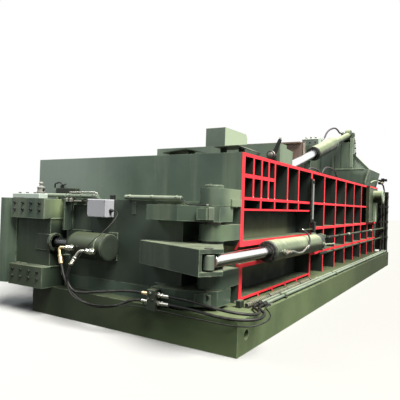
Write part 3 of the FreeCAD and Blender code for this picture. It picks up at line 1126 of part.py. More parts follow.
HOSE_END = 90.0
THIN_R = 8.0
THIN_END = (1695.0, 905.0, 430.0)
THIN_PATH = [(MANIFOLD_X + MANIFOLD_WIDE, -112, 390), (877, -112, 390), (1090, -118, 382),
             (1300, -118, 380), (1510, -114, 375), (1720, -112, 377), (1885, -60, 390),
             (1965, 90, 408), (1960, 280, 420), (1890, 450, 428), (1790, 600, 430),
             (1720, 690, 430), (THIN_END[0], 800, 430), THIN_END]
CABLE_START = (BOX_LEFT + BOX_WIDE + 45, DOOR_FACE_Y - BOX_DEEP + 90, BOX_BOTTOM + 95)
CABLE_PATH = [(CABLE_START[0] + 75, CABLE_START[1], CABLE_START[2]), (-145, 75, 1480),
              (-150, -30, 1370), (-215, -140, 1240),
              (-290, -225, 1150), (-370, -262, 1040), (-460, -280, 930), (-560, -290, 820),
              (-640, -292, 690), (-650, -292, 550), (-570, -292, 430), (-430, -282, 375),
              (-270, -262, 352), (-110, -235, 350), (40, -200, 365), (180, -165, 385),
              (320, -140, 398), (430, -120, 400), (548, -120, 400)]
UNION_HIGH = 42.0
UNION_LONG = 22.0
WALL_ARCH_X = 1150.0
WALL_ARCHES = ((3950.0, 4690.0, 60.0), (4720.0, 5900.0, 160.0))


if __name__ == "__main__":
    os.makedirs("parts", exist_ok=True)
    make_base()
    make_chamber()
    make_right_wall_frame()
    make_left_side()
    make_rams()
    make_frame_knuckles()
    make_door()
    make_lever()
    make_door_cylinder()
    make_lock()
    make_door_fittings()
    make_lid()
    make_lid_cylinder()
    make_rear_frame()
    make_side_pipes()
    make_cords()
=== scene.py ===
import bmesh
import bpy
import math
from mathutils import Matrix, Vector

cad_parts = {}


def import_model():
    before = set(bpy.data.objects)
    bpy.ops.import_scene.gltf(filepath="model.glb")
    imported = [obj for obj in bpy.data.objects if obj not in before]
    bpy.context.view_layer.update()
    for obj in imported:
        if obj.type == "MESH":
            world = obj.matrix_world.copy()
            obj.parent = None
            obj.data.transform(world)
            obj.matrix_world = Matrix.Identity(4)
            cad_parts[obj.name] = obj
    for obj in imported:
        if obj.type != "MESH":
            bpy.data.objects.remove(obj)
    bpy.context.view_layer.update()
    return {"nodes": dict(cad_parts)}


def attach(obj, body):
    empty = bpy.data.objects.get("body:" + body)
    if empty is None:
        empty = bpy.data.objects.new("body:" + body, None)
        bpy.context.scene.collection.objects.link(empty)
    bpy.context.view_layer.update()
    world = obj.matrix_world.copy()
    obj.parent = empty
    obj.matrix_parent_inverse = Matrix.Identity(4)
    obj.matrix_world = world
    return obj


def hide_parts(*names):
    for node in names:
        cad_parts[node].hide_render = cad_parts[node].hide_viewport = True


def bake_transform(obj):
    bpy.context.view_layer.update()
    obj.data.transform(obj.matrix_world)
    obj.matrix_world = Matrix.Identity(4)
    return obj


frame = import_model()

# Places below are in metres with Y counted from the base's front face, as in part.py; row()
# moves them by half the base's length into the row frame.
HALF_LENGTH = 5.135
BASE_TOP, DECK, BEAM_TOP = 0.403, 2.35, 2.80
DECK_SEAM = 2.352  # just above the deck: the middle of its weld beads, the catch lever's foot
WALL_X, CABINET_X = 1.319, 1.399


def row(x, y, z):
    return Vector((x, y - HALF_LENGTH, z))


# ---------------------------------------------------------------- materials
def rgb(hexcode):
    """A linear colour from an sRGB code."""
    parts = [int(hexcode[i:i + 2], 16) / 255 for i in (0, 2, 4)]
    return tuple(c / 12.92 if c < 0.04045 else ((c + 0.055) / 1.055) ** 2.4 for c in parts) + (1,)


def fill(made, **inputs):
    """Gives a node's inputs sockets to link, colour codes or plain values; i0, i1... go by index."""
    for key, value in inputs.items():
        name = int(key[1:]) if key[0] == "i" and key[1:].isdigit() else key.replace("_", " ")
        if isinstance(value, bpy.types.NodeSocket):
            made.id_data.links.new(value, made.inputs[name])
        else:
            made.inputs[name].default_value = rgb(value) if isinstance(value, str) else value


def node(tree, kind, props=None, **inputs):
    made = tree.nodes.new("ShaderNode" + kind)
    for key, value in (props or {}).items():
        setattr(made, key, value)
    fill(made, **inputs)
    return made.outputs


def new_material():
    made = bpy.data.materials.new("look")
    made.use_nodes = True
    tree = made.node_tree
    tree.nodes.clear()
    shader = tree.nodes.new("ShaderNodeBsdfPrincipled")
    node(tree, "OutputMaterial", i0=shader.outputs[0])
    return made, tree, shader


def noise(tree, place, scale, detail=3.0, rough=0.55, stretch=None):
    if stretch:
        place = node(tree, "Mapping", i0=place, Scale=stretch)[0]
    return node(tree, "TexNoise", Vector=place, Scale=scale, Detail=detail, Roughness=rough)[0]


def ramp(tree, value, low, high, to_low=0.0, to_high=1.0):
    return node(tree, "MapRange", Value=value, From_Min=low, From_Max=high, To_Min=to_low, To_Max=to_high)[0]


def mix(tree, share, first, second):
    return node(tree, "Mix", {"data_type": "RGBA"}, i0=share, i6=first, i7=second)[2]


def times(tree, first, second, how="MULTIPLY"):
    return node(tree, "Math", {"operation": how}, i0=first, i1=second)[0]


def level(tree, vector, axis):
    """A vector's X, Y or Z, as axis 0, 1 or 2."""
    return node(tree, "SeparateXYZ", Vector=vector)[axis]


GRIME, RED_EDGE_X = "23271f", 1.3165


def paint(dark, light, dust_and_highlight="9a9c84", rough=0.5, edge="7c8772", dirt=0.5, bump=0.12, red=False, light_and_shade_spots=(),
          side=None, shade_below=None):
    """Brushed and sprayed machine paint: cloudy colour, dust and a painted top highlight, runs, worn edges.
    red paints the plate edges right of RED_EDGE_X; the spots are painted light and painted shade round
    places (centre, radius, colour, strength); side paints a highlight on what faces +X, and the colour
    below paints shade on what faces down."""
    made, tree, shader = new_material()
    place = node(tree, "TexCoord")["Object"]
    facing = node(tree, "NewGeometry")
    up = level(tree, facing["Normal"], 2)
    cloud = noise(tree, place, 0.9, 4.0)
    fine = noise(tree, place, 7.0, 6.0, 0.65)
    runs = noise(tree, place, 3.0, 4.0, 0.6, (1.0, 1.0, 0.09))
    # upward faces go paler: dust, and partly a painted highlight on the tops
    top_dust_and_highlight = times(tree, ramp(tree, up, 0.55, 0.95), ramp(tree, fine, 0.1, 0.6))
    layers = [(times(tree, ramp(tree, runs, 0.52, 0.75), 0.35 * dirt), dust_and_highlight),
              (times(tree, ramp(tree, fine, 0.55, 0.8), 0.30 * dirt), GRIME),
              (times(tree, top_dust_and_highlight, 0.75 * dirt), dust_and_highlight)]
    # painted light and painted shade: pools of colour round given places
    for centre, radius, tone, strength in light_and_shade_spots:
        away = node(tree, "VectorMath", {"operation": "DISTANCE"}, i0=place, i1=row(*centre))["Value"]
        layers.append((ramp(tree, away, radius, 0.35 * radius, 0.0, strength), tone))
    # painted highlight: what faces +X goes paler, as if lit from that side
    if side:
        layers.append((ramp(tree, level(tree, facing["Normal"], 0), 0.6, 0.9, 0.0, 0.85), side))
    # painted shade: what faces down goes darker
    if shade_below:
        layers.append((ramp(tree, up, 0.3, -0.1, 0.0, 0.9), shade_below))
    if edge:
        soft = node(tree, "Bevel", {"samples": 4}, Radius=0.014)[0]
        flat = facing["True Normal"]
        same = node(tree, "VectorMath", {"operation": "DOT_PRODUCT"}, i0=soft, i1=flat)["Value"]
        worn = times(tree, ramp(tree, same, 0.985, 0.90), ramp(tree, fine, 0.38, 0.56))
        layers.append((times(tree, worn, 0.8), edge))
    if red:
        wavy = times(tree, noise(tree, place, 9.0, 2.0), 0.004)
        across = times(tree, level(tree, place, 0), wavy, "ADD")
        layers.append((times(tree, across, RED_EDGE_X, "GREATER_THAN"),
                       mix(tree, ramp(tree, fine, 0.35, 0.7), "de2d38", "bb2832")))
    colour = mix(tree, ramp(tree, cloud, 0.35, 0.68), dark, light)
    for share, tone in layers:
        colour = mix(tree, share, colour, tone)
    gloss = ramp(tree, times(tree, fine, cloud, "ADD"), 0.75, 1.25, rough - 0.08, rough + 0.16)
    dents = noise(tree, place, 1.7, 2.0)
    height = times(tree, times(tree, noise(tree, place, 38.0, 3.0), 0.12), dents, "ADD")
    fill(shader, Base_Color=colour, Roughness=gloss, Specular_IOR_Level=0.28,
         Normal=node(tree, "Bump", Strength=bump, Distance=0.02, Height=height)[0])
    return made


def metal(colour, rough, stain="3c352c", dirt=0.4, brushed=None, scale=14.0, shade_below=None):
    """Bare, plated or cast metal with stains, a brushed grain along one axis, and painted shade and dark
    reflection underneath, if asked.
    """
    made, tree, shader = new_material()
    place = node(tree, "TexCoord")["Object"]
    patch = noise(tree, place, scale * 0.25, 5.0, 0.6)
    fine = noise(tree, place, scale, 5.0, 0.6, brushed)
    colour = mix(tree, times(tree, ramp(tree, patch, 0.5, 0.72), dirt), colour, stain)
    colour = mix(tree, times(tree, ramp(tree, fine, 0.5, 0.8), dirt * 0.5), colour, stain)
    # painted shade and a painted dark reflection on what faces down
    if shade_below:
        up = level(tree, node(tree, "NewGeometry")["Normal"], 2)
        colour = mix(tree, ramp(tree, up, 0.0, -0.3, 0.0, 0.95), colour, shade_below)
    gloss = ramp(tree, times(tree, fine, patch, "ADD"), 0.7, 1.3, rough * 0.7, min(1.0, rough * 1.7))
    fill(shader, Metallic=1.0, Base_Color=colour, Roughness=gloss,
         Normal=node(tree, "Bump", Strength=0.08, Distance=0.004, Height=fine)[0])
    return made


def rubber(colour, braid=0.0):
    """Hose rubber with scuffs and dust, and a wrapped or braided cover if asked."""
    made, tree, shader = new_material()
    place = node(tree, "TexCoord")["Object"]
    height = scuff = noise(tree, place, 16.0, 5.0, 0.65)
    if braid:
        weave = node(tree, "TexWave", {"wave_type": "BANDS", "bands_direction": "DIAGONAL"}, Vector=place,
                     Scale=braid, Distortion=1.5)[1]
        height = times(tree, weave, scuff, "ADD")
    fill(shader, Base_Color=mix(tree, ramp(tree, scuff, 0.45, 0.75, 0.0, 0.22), colour, "5f5c52"),
         Roughness=ramp(tree, scuff, 0.3, 0.7, 0.42, 0.7), Specular_IOR_Level=0.3,
         Normal=node(tree, "Bump", Strength=0.35, Distance=0.004, Height=height)[0])
    return made


M = {
    # hull: its spots are painted light on the hinge knuckles' right sides and on the rear post, and painted
    # shade left of the post
    "hull": paint("333f35", "435145", rough=0.45,
                  light_and_shade_spots=[((1.36, 0.6, 1.77), 0.34, "7d886d", 0.55), ((1.3, 0.4, 1.32), 0.28, "5c6a4e", 0.45),
                         ((1.2, 8.42, 3.0), 0.4, "8b978a", 0.9), ((0.85, 8.36, 3.3), 0.7, "66725f", 0.45),
                         ((0.42, 8.4, 3.2), 0.4, "262e2a", 0.5)]),
    # door: darker than the hull paint for the shade on the door, with a painted pool of light on its upper
    # middle
    "door": paint("262f28", "323c34", "8d927a", light_and_shade_spots=[((0.55, 0.19, 1.6), 0.5, "55624f", 0.5)]),
    # lock frame: darker paint for the shade on it; its spots are painted light on the upper block's side and
    # painted shade on the column's side by the door and low on the left
    "lock": paint("28322a", "374338", light_and_shade_spots=[((-1.27, 0.16, 1.6), 0.38, "77845f", 0.6),
                                             ((-1.27, 0.08, 1.04), 0.46, "0e130e", 0.9),
                                             ((-1.8, -0.2, 0.5), 0.8, "22281a", 0.7)]),
    # frame: its spot is a painted sheen on the front plate's upper left
    "frame": paint("36423a", "47564a", rough=0.45, red=True,
                   light_and_shade_spots=[((-2.35, 0.766, 2.25), 1.9, "69726c", 0.75)]),
    # ribs: near-black paint standing for the shade on the ribs' sides in the bays
    "ribs": paint("1d2320", "292f2a", "808a66", 0.6, None, 0.35, red=True),
    # bay: near-black paint for the shade in the recesses, with painted light on the front bays' shelves
    "bay": paint("1a201d", "262c27", rough=0.65, edge=None, red=True,
                 light_and_shade_spots=[((1.1, 1.1 + 0.45 * i, 1.05), 0.5, "6f7459", 0.8) for i in range(5)]),
    # base: its spots are painted shade, darker towards the far end and at the front left under the door
    "base": paint("3f4a33", "4e5a3c", "6c7358", 0.55, dirt=0.55,
                  light_and_shade_spots=[((1.7, 11.0, 0.2), 9.5, "1e2411", 0.9), ((-1.3, -0.1, 0.3), 2.6, "1b2017", 0.85)]),
    # cylinder: the near-white top dust is partly a painted highlight on the barrels' tops, and the colour
    # below is painted shade on their undersides
    "cylinder": paint("4b5440", "5f684e", "ccd0b0", 0.38, shade_below="12140d"),
    # lock barrel: a darker copy of the cylinder paint for the shade on the lock's barrel, with painted shade
    # below
    "shaded_barrel": paint("22281c", "323929", "474c38", 0.42, dirt=0.4, shade_below="14160f"),
    "shade": paint("181e17", "20271e", rough=0.6, edge="3a4436", dirt=0.3),
    # lid: its spot is painted light on the lid's lit right front side
    "lid": paint("454f46", "586358", light_and_shade_spots=[((1.31, 2.35, 2.5), 0.45, "6c7963", 0.7)]),
    # ballast: side paints a highlight on its faces towards +X
    "ballast": paint("434d44", "545f54", side="8f9a84"),
    "brown": paint("5a4740", "6f5c52", rough=0.6, edge="8f8378"),
    "pale": paint("6b7866", "7f8b78", edge="9aa492"),
    "grey": paint("838c86", "969f99", edge="b4b9b4", dirt=0.4),
    "red": paint("cf2932", "b9262f", rough=0.45, edge=None, dirt=0.2),
    "gland": paint("191b19", "2a2c28", "6d6f66", edge="6b6d67", dirt=0.4),
    "primer": paint("4a3d38", "6b5a52", rough=0.55, edge="8b7f78"),
    # chrome and pin chrome: the dark colour below is painted shade and a painted dark reflection on their
    # undersides
    "chrome": metal("ffffff", 0.15, "8c8984", 0.05, scale=6.0, shade_below="2c2020"),
    "pinchrome": metal("5a5c5e", 0.2, "2c2020", 0.5, scale=6.0, shade_below="141010"),
    "steel": metal("6a6762", 0.42, dirt=0.7),
    "liner": metal("5b5751", 0.38, dirt=0.8, brushed=(8.0, 0.6, 8.0)),
    "zinc": metal("b9b7ae", 0.28),
    "brass": metal("d8c19a", 0.3, "8b6b4d", 0.35),
    "pipe": paint("50584d", "656e62", rough=0.42, edge=None),
    # sidepipe: painted shade on the pipes' undersides
    "sidepipe": paint("2b3121", "394130", "5a6046", 0.45, None, 0.4, shade_below="14160f"),
    "droptube": paint("6f7571", "858b86", rough=0.4, edge=None),
    "tray": paint("45433a", "5f5b4e", "77735f", 0.65),
    "hose": rubber("0b0b0c"),
    "braid": rubber("26282a", 90.0),
    "mauve": rubber("332c30", 60.0),
    "switch": paint("63635f", "74746f", "77756f", edge="a9a9a4", dirt=0.3),
    "plastic": paint("838389", "8f8e93", "77756f", edge=None, dirt=0.25, bump=0.03),
    "black": rubber("090a0a"),
}

NODE_LOOK = {
    "hull": "chamber_roof door_cylinder_bracket door_hinge_plates frame_knuckles lid_cylinder_post lid_lug "
            "lock_anchor_post rear_beam rear_plate side_ram_housing",
    "door": "door door_lever",
    "lock": "lock_frame",
    "ballast": "lid_ballast",
    "frame": "front_plate left_wall_frame",
    "ribs": "front_bay_frame rear_bay_frame right_bulkhead",
    "bay": "chamber_walls",
    "base": "base",
    "lid": "lid_shell lid_upstands",
    "brown": "lid_rear_wall",
    "shade": "deck_sheets hose_manifold",
    "grey": "lid_cylinder_valve",
    "cylinder": "door_cylinder_barrel lid_cylinder_barrel lock_cylinder ram_cylinders side_cabinet",
    "black": "pipe_clamps",
    "gland": "door_cylinder_gland lid_cylinder_gland rear_risers",
    "chrome": "door_cylinder_rod lid_cylinder_rod lock_pin",
    "steel": "hinge_pin lid_catch lid_hinge_pin lock_frame_bolts main_ram side_ram",
    "liner": "floor_liner",
    "zinc": "door_cylinder_ports lock_port_elbows manifold_fittings",
    "pipe": "door_top_conduits side_pipes",
    "tray": "hose_tray",
    "plastic": "junction_box lock_limit_switch",
}
for look, made in M.items():
    made.name = look + "_look"
for look, names in NODE_LOOK.items():
    for name in names.split():
        data = frame["nodes"][name].data
        data.materials.clear()
        data.materials.append(M[look])


# ---------------------------------------------------------------- mesh tools
X, Y, Z = Vector((1, 0, 0)), Vector((0, 1, 0)), Vector((0, 0, 1))
SHARP = math.radians(34)
PLANES = {"x": lambda a, b, c: (c, a, b), "y": lambda a, b, c: (a, c, b), "z": lambda a, b, c: (a, b, c)}


def rounded(points, bend, steps=5):
    """A rigid pipe's centre line: straight runs with a soft curve at each corner."""
    points = [Vector(p) for p in points]
    path = [points[0]]
    for before, corner, after in zip(points, points[1:], points[2:]):
        back, ahead = before - corner, after - corner
        reach = min(bend, 0.45 * back.length, 0.45 * ahead.length)
        start, end = corner + back.normalized() * reach, corner + ahead.normalized() * reach
        for i in range(steps + 1):
            t = i / steps
            path.append((1 - t) ** 2 * start + 2 * t * (1 - t) * corner + t * t * end)
    return path + [points[-1]]


def corners(a, b):
    """A rectangle's corners, from its range along each side."""
    return [(a[0], b[0]), (a[1], b[0]), (a[1], b[1]), (a[0], b[1])]


class Piece:
    """One object of the scene, put together from closed forms in machine places."""

    def __init__(self, look):
        self.mesh = bmesh.new()
        self.looks = []
        self.use(look)

    def use(self, look):
        """What is added from here on has this look."""
        if look not in self.looks:
            self.looks.append(look)
        self.tint = self.looks.index(look)
        return self

    def loft(self, rings, loop=False):
        """Faces between rings of points. A ring of one point is a pole; open ends get a cap."""
        rows = [[self.mesh.verts.new(p) for p in ring] for ring in rings]
        faces = []
        for a, b in list(zip(rows, rows[1:])) + ([(rows[-1], rows[0])] if loop else []):
            count = max(len(a), len(b))
            for i in range(count):
                j = (i + 1) % count
                outline = dict.fromkeys((a[i % len(a)], a[j % len(a)], b[j % len(b)], b[i % len(b)]))
                faces.append(self.mesh.faces.new(list(outline)))
        if not loop:
            faces += [self.mesh.faces.new(end) for end in (rows[0], rows[-1]) if len(end) > 2]
        for face in faces:
            face.material_index = self.tint
        return faces

    def lathe(self, start, along, profile, steps=36, loop=False):
        """Turns (distance, radius) points about the line from start; six steps make a hexagon."""
        start, along = Vector(start), along.normalized()
        side = along.orthogonal().normalized()
        third = along.cross(side)
        rings = []
        for distance, radius in profile:
            centre = start + along * distance
            angles = [math.tau * i / steps for i in range(steps)] if radius else [0]
            rings.append([centre + radius * (math.cos(a) * side + math.sin(a) * third) for a in angles])
        self.loft(rings, loop)

    def bar(self, start, along, radius, length, steps):
        self.lathe(start, along, [(0, 0), (0, radius), (length, radius), (length, 0)], steps)

    def cap(self, start, along, radius, wall, top, height, steps):
        """A round cap: an upright wall, then a slant to the radius of its flat top."""
        self.lathe(start, along, [(0, radius), (wall, radius), (height, top), (height, 0)], steps)

    def ring(self, start, along, bore, radius, length, steps, edge=0.0):
        """A ring or an eye, its outer edges broken if asked."""
        outside = [(0, radius), (length, radius)]
        if edge:
            outside = [(0, radius - edge), (edge, radius), (length - edge, radius), (length, radius - edge)]
        self.lathe(start, along, [(0, bore), *outside, (length, bore)], steps, True)

    def prism(self, outline, axis, low, high, bevel=0.004):
        """An outline in the plane across an axis, drawn out from low to high with broken edges."""
        faces = self.loft([[Vector(PLANES[axis](*point, c)) for point in outline] for c in (low, high)])
        if bevel:
            edges = list({edge for face in faces for edge in face.edges})
            made = bmesh.ops.bevel(self.mesh, geom=edges, offset=bevel, segments=1, affect="EDGES")
            for face in made["faces"]:
                face.material_index = self.tint

    def block(self, x, y, z, bevel=0.004):
        self.prism(corners(x, y), "z", *z, bevel)

    def tube(self, path, radius, steps=12):
        """A round bar or pipe along a path; radius may be a list, one for each point."""
        path = [Vector(p) for p in path]
        radii = radius if isinstance(radius, list) else [radius] * len(path)
        rings, side = [], None
        for i, point in enumerate(path):
            ahead = (path[min(i + 1, len(path) - 1)] - path[max(i - 1, 0)]).normalized()
            side = (side - ahead * side.dot(ahead)).normalized() if side else ahead.orthogonal().normalized()
            third = ahead.cross(side)
            rings.append([point + radii[i] * (math.cos(a) * side + math.sin(a) * third)
                          for a in (math.tau * k / steps for k in range(steps))])
        self.loft(rings)

    def bead(self, start, end, radius=0.009, pitch=0.02):
        """A weld bead with its ripples."""
        start, end = Vector(start), Vector(end)
        count = max(3, round((end - start).length / pitch))
        path = [start.lerp(end, i / count) for i in range(count + 1)]
        radii = [radius * (0.35 if i in (0, count) else 0.85 + 0.15 * (i % 2)) for i in range(count + 1)]
        self.tube(path, radii, 6)

    def frame_bead(self, outline, axis, at, radius=0.009):
        """Weld beads all the way round an outline in the plane across an axis."""
        points = [PLANES[axis](*point, at) for point in outline]
        for start, end in zip(points, points[1:] + points[:1]):
            self.bead(start, end, radius)

    def bolt(self, at, along, size):
        """A hexagon head on its washer."""
        self.lathe(at, along, [(0, 1.25 * size), (0.2 * size, 1.25 * size)], 18)
        self.lathe(at, along, [(0.2 * size, size), (0.8 * size, size), (0.95 * size, 0.8 * size)], 6)

    def bolts(self, places_x, places_y, z):
        """Upright bolts in rows."""
        for x in places_x:
            for y in places_y:
                self.bolt((x, y, z), Z, 0.016)

    def cap_screw(self, at, along, size):
        """A round head with its hexagon socket."""
        self.lathe(at, along, [(0, size), (0.85 * size, size), (size, 0.88 * size), (size, 0.55 * size),
                               (0.4 * size, 0.5 * size), (0.4 * size, 0)], 18)

    def screw_circle(self, centre, along, radius, count, size, head=None):
        """Cap screws in a circle, or the given kind of head."""
        side = along.orthogonal().normalized()
        third = along.cross(side)
        for i in range(count):
            turn = math.tau * (i + 0.5) / count
            at = Vector(centre) + radius * (math.cos(turn) * side + math.sin(turn) * third)
            (head or self.cap_screw)(at, along, size)

    def nut(self, at, along, size, length):
        """A hexagon fitting nut with turned ends."""
        self.lathe(at, along, [(0, 0.85 * size), (0.1 * size, size), (length - 0.1 * size, size),
                               (length, 0.85 * size)], 6)

    def ferrule(self, at, along, bore, length):
        """The crimped sleeve on the end of a hose."""
        low, high = bore * 1.3, bore * 1.42
        profile = [(0, bore * 1.05), (0, low)]
        for share in (0.08, 0.28, 0.48, 0.68):
            start, end = length * share, length * (share + 0.13)
            profile += [(start, low), (start + 0.002, high), (end, high), (end + 0.002, low)]
        self.lathe(at, along, profile + [(length, low), (length, bore * 1.05)], 20)

    def finish(self, name, tilt=None):
        """Makes the object in the row frame, with smooth curves and sharp edges."""
        if tilt:
            bmesh.ops.transform(self.mesh, matrix=tilt, verts=self.mesh.verts)
        bmesh.ops.translate(self.mesh, verts=self.mesh.verts, vec=(0, -HALF_LENGTH, 0))
        bmesh.ops.recalc_face_normals(self.mesh, faces=self.mesh.faces)
        for face in self.mesh.faces:
            face.smooth = True
        for edge in self.mesh.edges:
            edge.smooth = edge.calc_face_angle(math.pi) < SHARP
        data = bpy.data.meshes.new(name)
        self.mesh.to_mesh(data)
        self.mesh.free()
        for look in self.looks:
            data.materials.append(M[look])
        return in_scene(name, data)

    def ride(self, name, body, slot, *replaced, tilt=None):
        """Makes the object and puts it on its body."""
        made = self.finish(name, tilt)
        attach(made, body)
        if replaced:
            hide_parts(*replaced)
        return made


def in_scene(name, data):
    """A new object with this data, linked to the scene."""
    made = bpy.data.objects.new(name, data)
    bpy.context.scene.collection.objects.link(made)
    return made


def about(centre, half):
    """A range with this middle and half width."""
    return centre - half, centre + half


# ---------------------------------------------------------------- cords
def lay_cord(name, route, length, radius, look, body, *replaced):
    """A hose on a smooth line along its route, whose points part.py has too. On one body it is a curve;
    between two it is a tube fixed in place, without a body; where its turn starts and ends is given but not
    used."""
    points = [row(*p) for p in route]
    bent = isinstance(body, tuple)
    data = bpy.data.curves.new(name + "_line" * bent, "CURVE")
    data.dimensions = "3D"
    spline = data.splines.new("NURBS")
    spline.points.add(len(points) - 1)
    for point, place in zip(spline.points, points):
        point.co = (*place, 1)
    spline.order_u = 3
    spline.use_endpoint_u = True
    spline.resolution_u = 8
    made, path = in_scene(data.name, data), None
    if bent:
        path = [v.co.copy() for v in bpy.data.meshes.new_from_object(made).vertices]
        bpy.data.objects.remove(made)
        piece = Piece(look)
        piece.tube([p + Y * HALF_LENGTH for p in path], radius, 14)
        made = piece.finish(name)
    else:
        data.bevel_depth = radius
        data.bevel_resolution = 4
        data.use_fill_caps = True
        data.materials.append(M[look])
        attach(made, body)
    if replaced:
        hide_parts(*replaced)
    if bent:
        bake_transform(made)


HOSE_R, THIN_R, LEAD_R, DOOR_HOSE_R, LID_HOSE_R = 0.017, 0.008, 0.006, 0.014, 0.021
HINGE_PLATE_FACE = -0.02
MANIFOLD_LEFT, MANIFOLD_RIGHT, MANIFOLD_Y = 0.548, 0.668, HINGE_PLATE_FACE - 0.06
PORT_LOW, PORT_HIGH = 0.468, 0.562
LEFT_END, RIGHT_END = MANIFOLD_LEFT - 0.09, MANIFOLD_RIGHT + 0.15
ELBOW_A, ELBOW_B = (-0.845, -0.244, 0.872), (-0.59, -0.254, 0.872)
INNER_PIPE, OUTER_PIPE, BASE_PIPE_Z = 1.58, 1.65, 0.44
THIN_X, THIN_Y, THIN_Z = 1.695, 0.905, 0.43
LOOP_X, LOOP_END_X, LOOP_END_Z = 1.662, 1.355, 1.275  # the ends of the door cylinder's hose
LEAD_Y, LEAD_Z = 0.11, 1.535  # where the sensor's lead leaves the junction box
LINK_UP, TAIL_UP = 0.185, 0.115  # the lid cylinder's hose ends, up from its axis
LID_EYE, LID_PIVOT = Vector((0.83, 3.52, 2.375)), Vector((0.83, 8.45, 3.768))
LID_REACH = (LID_PIVOT - LID_EYE).length
LID_SLOPE = math.atan2(LID_PIVOT.z - LID_EYE.z, LID_PIVOT.y - LID_EYE.y)
WALL_HOSES = ((1.15, 3.95, 4.69), (1.195, 4.72, 5.90))  # X, first and last Y of the wall's hoses


def on_lid_cylinder(x, along, up):
    """A point of the lid cylinder, along from its front eye and up from its axis."""
    level_place = Vector((0, along - LID_REACH, up))
    return Vector((x, *(Matrix.Rotation(LID_SLOPE, 3, "X") @ level_place + LID_PIVOT)[1:]))


def lid_arch():
    start, end, foot, tail = 2.903, LID_REACH - 0.37, LINK_UP, TAIL_UP
    flat = [(start, foot), (start + 0.17, foot), (start + 0.35, foot + 0.105), (start + 0.67, foot + 0.16),
            (start + 1.17, foot + 0.15), (end - 0.38, foot + 0.05), (end - 0.19, tail), (end, tail)]
    return [on_lid_cylinder(0.735, along, up) for along, up in flat]


def wall_arch(x, y0, y1, rise):
    third, foot = (y1 - y0) / 3, 2.392
    return [(x, y0, foot), (x, y0 + third / 3, foot + 0.7 * rise), (x, y0 + third, foot + rise),
            (x, y1 - third, foot + rise), (x, y1 - third / 3, foot + 0.7 * rise), (x, y1, foot)]


lay_cord("lock_hose_a", [
    ELBOW_A, (-0.783, -0.265, 0.717), (-0.70, -0.264, 0.575), (-0.585, -0.259, 0.445), (-0.40, -0.244, 0.352),
    (-0.14, -0.229, 0.322), (0.11, -0.159, 0.365), (0.30, MANIFOLD_Y, PORT_LOW),
    (LEFT_END, MANIFOLD_Y, PORT_LOW)], 1.614, HOSE_R, "hose", "door_leaf", "lock_hoses")
lay_cord("lock_hose_b", [
    ELBOW_B, (-0.653, -0.281, 0.753), (-0.69, -0.268, 0.597), (-0.59, -0.256, 0.475), (-0.42, -0.248, 0.47),
    (-0.16, -0.232, 0.515), (0.13, -0.144, 0.553), (0.31, MANIFOLD_Y, PORT_HIGH),
    (LEFT_END, MANIFOLD_Y, PORT_HIGH)], 1.512, HOSE_R, "hose", "door_leaf")
lay_cord("sensor_lead", [
    (-0.27, LEAD_Y, LEAD_Z), (-0.195, LEAD_Y, LEAD_Z), (-0.145, 0.075, 1.48), (-0.15, -0.03, 1.37),
    (-0.215, -0.14, 1.24), (-0.29, -0.225, 1.15), (-0.37, -0.262, 1.04), (-0.46, -0.28, 0.93),
    (-0.56, -0.29, 0.82), (-0.64, -0.292, 0.69), (-0.65, -0.292, 0.55), (-0.57, -0.292, 0.43),
    (-0.43, -0.282, 0.375), (-0.27, -0.262, 0.352), (-0.11, -0.235, 0.35), (0.04, -0.20, 0.365),
    (0.18, -0.165, 0.385), (0.32, -0.14, 0.398), (0.43, -0.12, 0.40), (MANIFOLD_LEFT, -0.12, 0.40)],
         2.631, LEAD_R, "black", "door_leaf", "sensor_cable")
lay_cord("corner_hose_upper", [
    (RIGHT_END, MANIFOLD_Y, PORT_HIGH), (1.12, MANIFOLD_Y, PORT_HIGH), (1.42, -0.09, 0.525),
    (1.70, -0.04, 0.495), (1.845, 0.15, 0.465), (1.80, 0.38, 0.452), (1.665, 0.515, BASE_PIPE_Z),
    (INNER_PIPE, 0.64, BASE_PIPE_Z), (INNER_PIPE, 0.79, BASE_PIPE_Z)], 1.825, HOSE_R, "hose",
         ("door_leaf", "frame", (1.0, -0.08, 0.5), (1.72, 0.45, 0.44)), "corner_hoses")
lay_cord("corner_hose_lower", [
    (RIGHT_END, MANIFOLD_Y, PORT_LOW), (1.12, MANIFOLD_Y, PORT_LOW), (1.43, -0.095, 0.44),
    (1.72, MANIFOLD_Y, 0.434), (1.905, 0.09, 0.434), (1.875, 0.36, 0.438), (1.735, 0.515, BASE_PIPE_Z),
    (OUTER_PIPE, 0.64, BASE_PIPE_Z), (OUTER_PIPE, 0.79, BASE_PIPE_Z)], 1.900, HOSE_R, "hose",
         ("door_leaf", "frame", (1.0, -0.08, 0.5), (1.78, 0.45, 0.44)))
lay_cord("corner_tube_thin", [
    (MANIFOLD_RIGHT, -0.112, 0.39), (0.877, -0.112, 0.39), (1.09, -0.118, 0.382), (1.30, -0.118, 0.38),
    (1.51, -0.114, 0.375), (1.72, -0.112, 0.377), (1.885, -0.06, 0.39), (1.965, 0.09, 0.408),
    (1.96, 0.28, 0.42), (1.89, 0.45, 0.428), (1.79, 0.60, THIN_Z), (1.72, 0.69, THIN_Z),
    (THIN_X, 0.80, THIN_Z), (THIN_X, THIN_Y, THIN_Z)], 2.266, THIN_R, "black",
         ("door_leaf", "frame", (1.0, -0.11, 0.39), (1.85, 0.5, 0.43)))
lay_cord("door_cylinder_loop", [
    (LOOP_X, 2.45, 1.05), (LOOP_X, 2.594, 1.0868), (1.60, 2.70, 1.23), (1.50, 2.76, 1.285),
    (1.40, 2.83, 1.292), (LOOP_END_X, 2.945, LOOP_END_Z), (LOOP_END_X, 3.06, LOOP_END_Z)],
         0.812, DOOR_HOSE_R, "braid",
         ("door_cylinder", "frame", (1.64, 2.55, 1.08), (1.37, 2.9, 1.28)), "door_cylinder_hose")
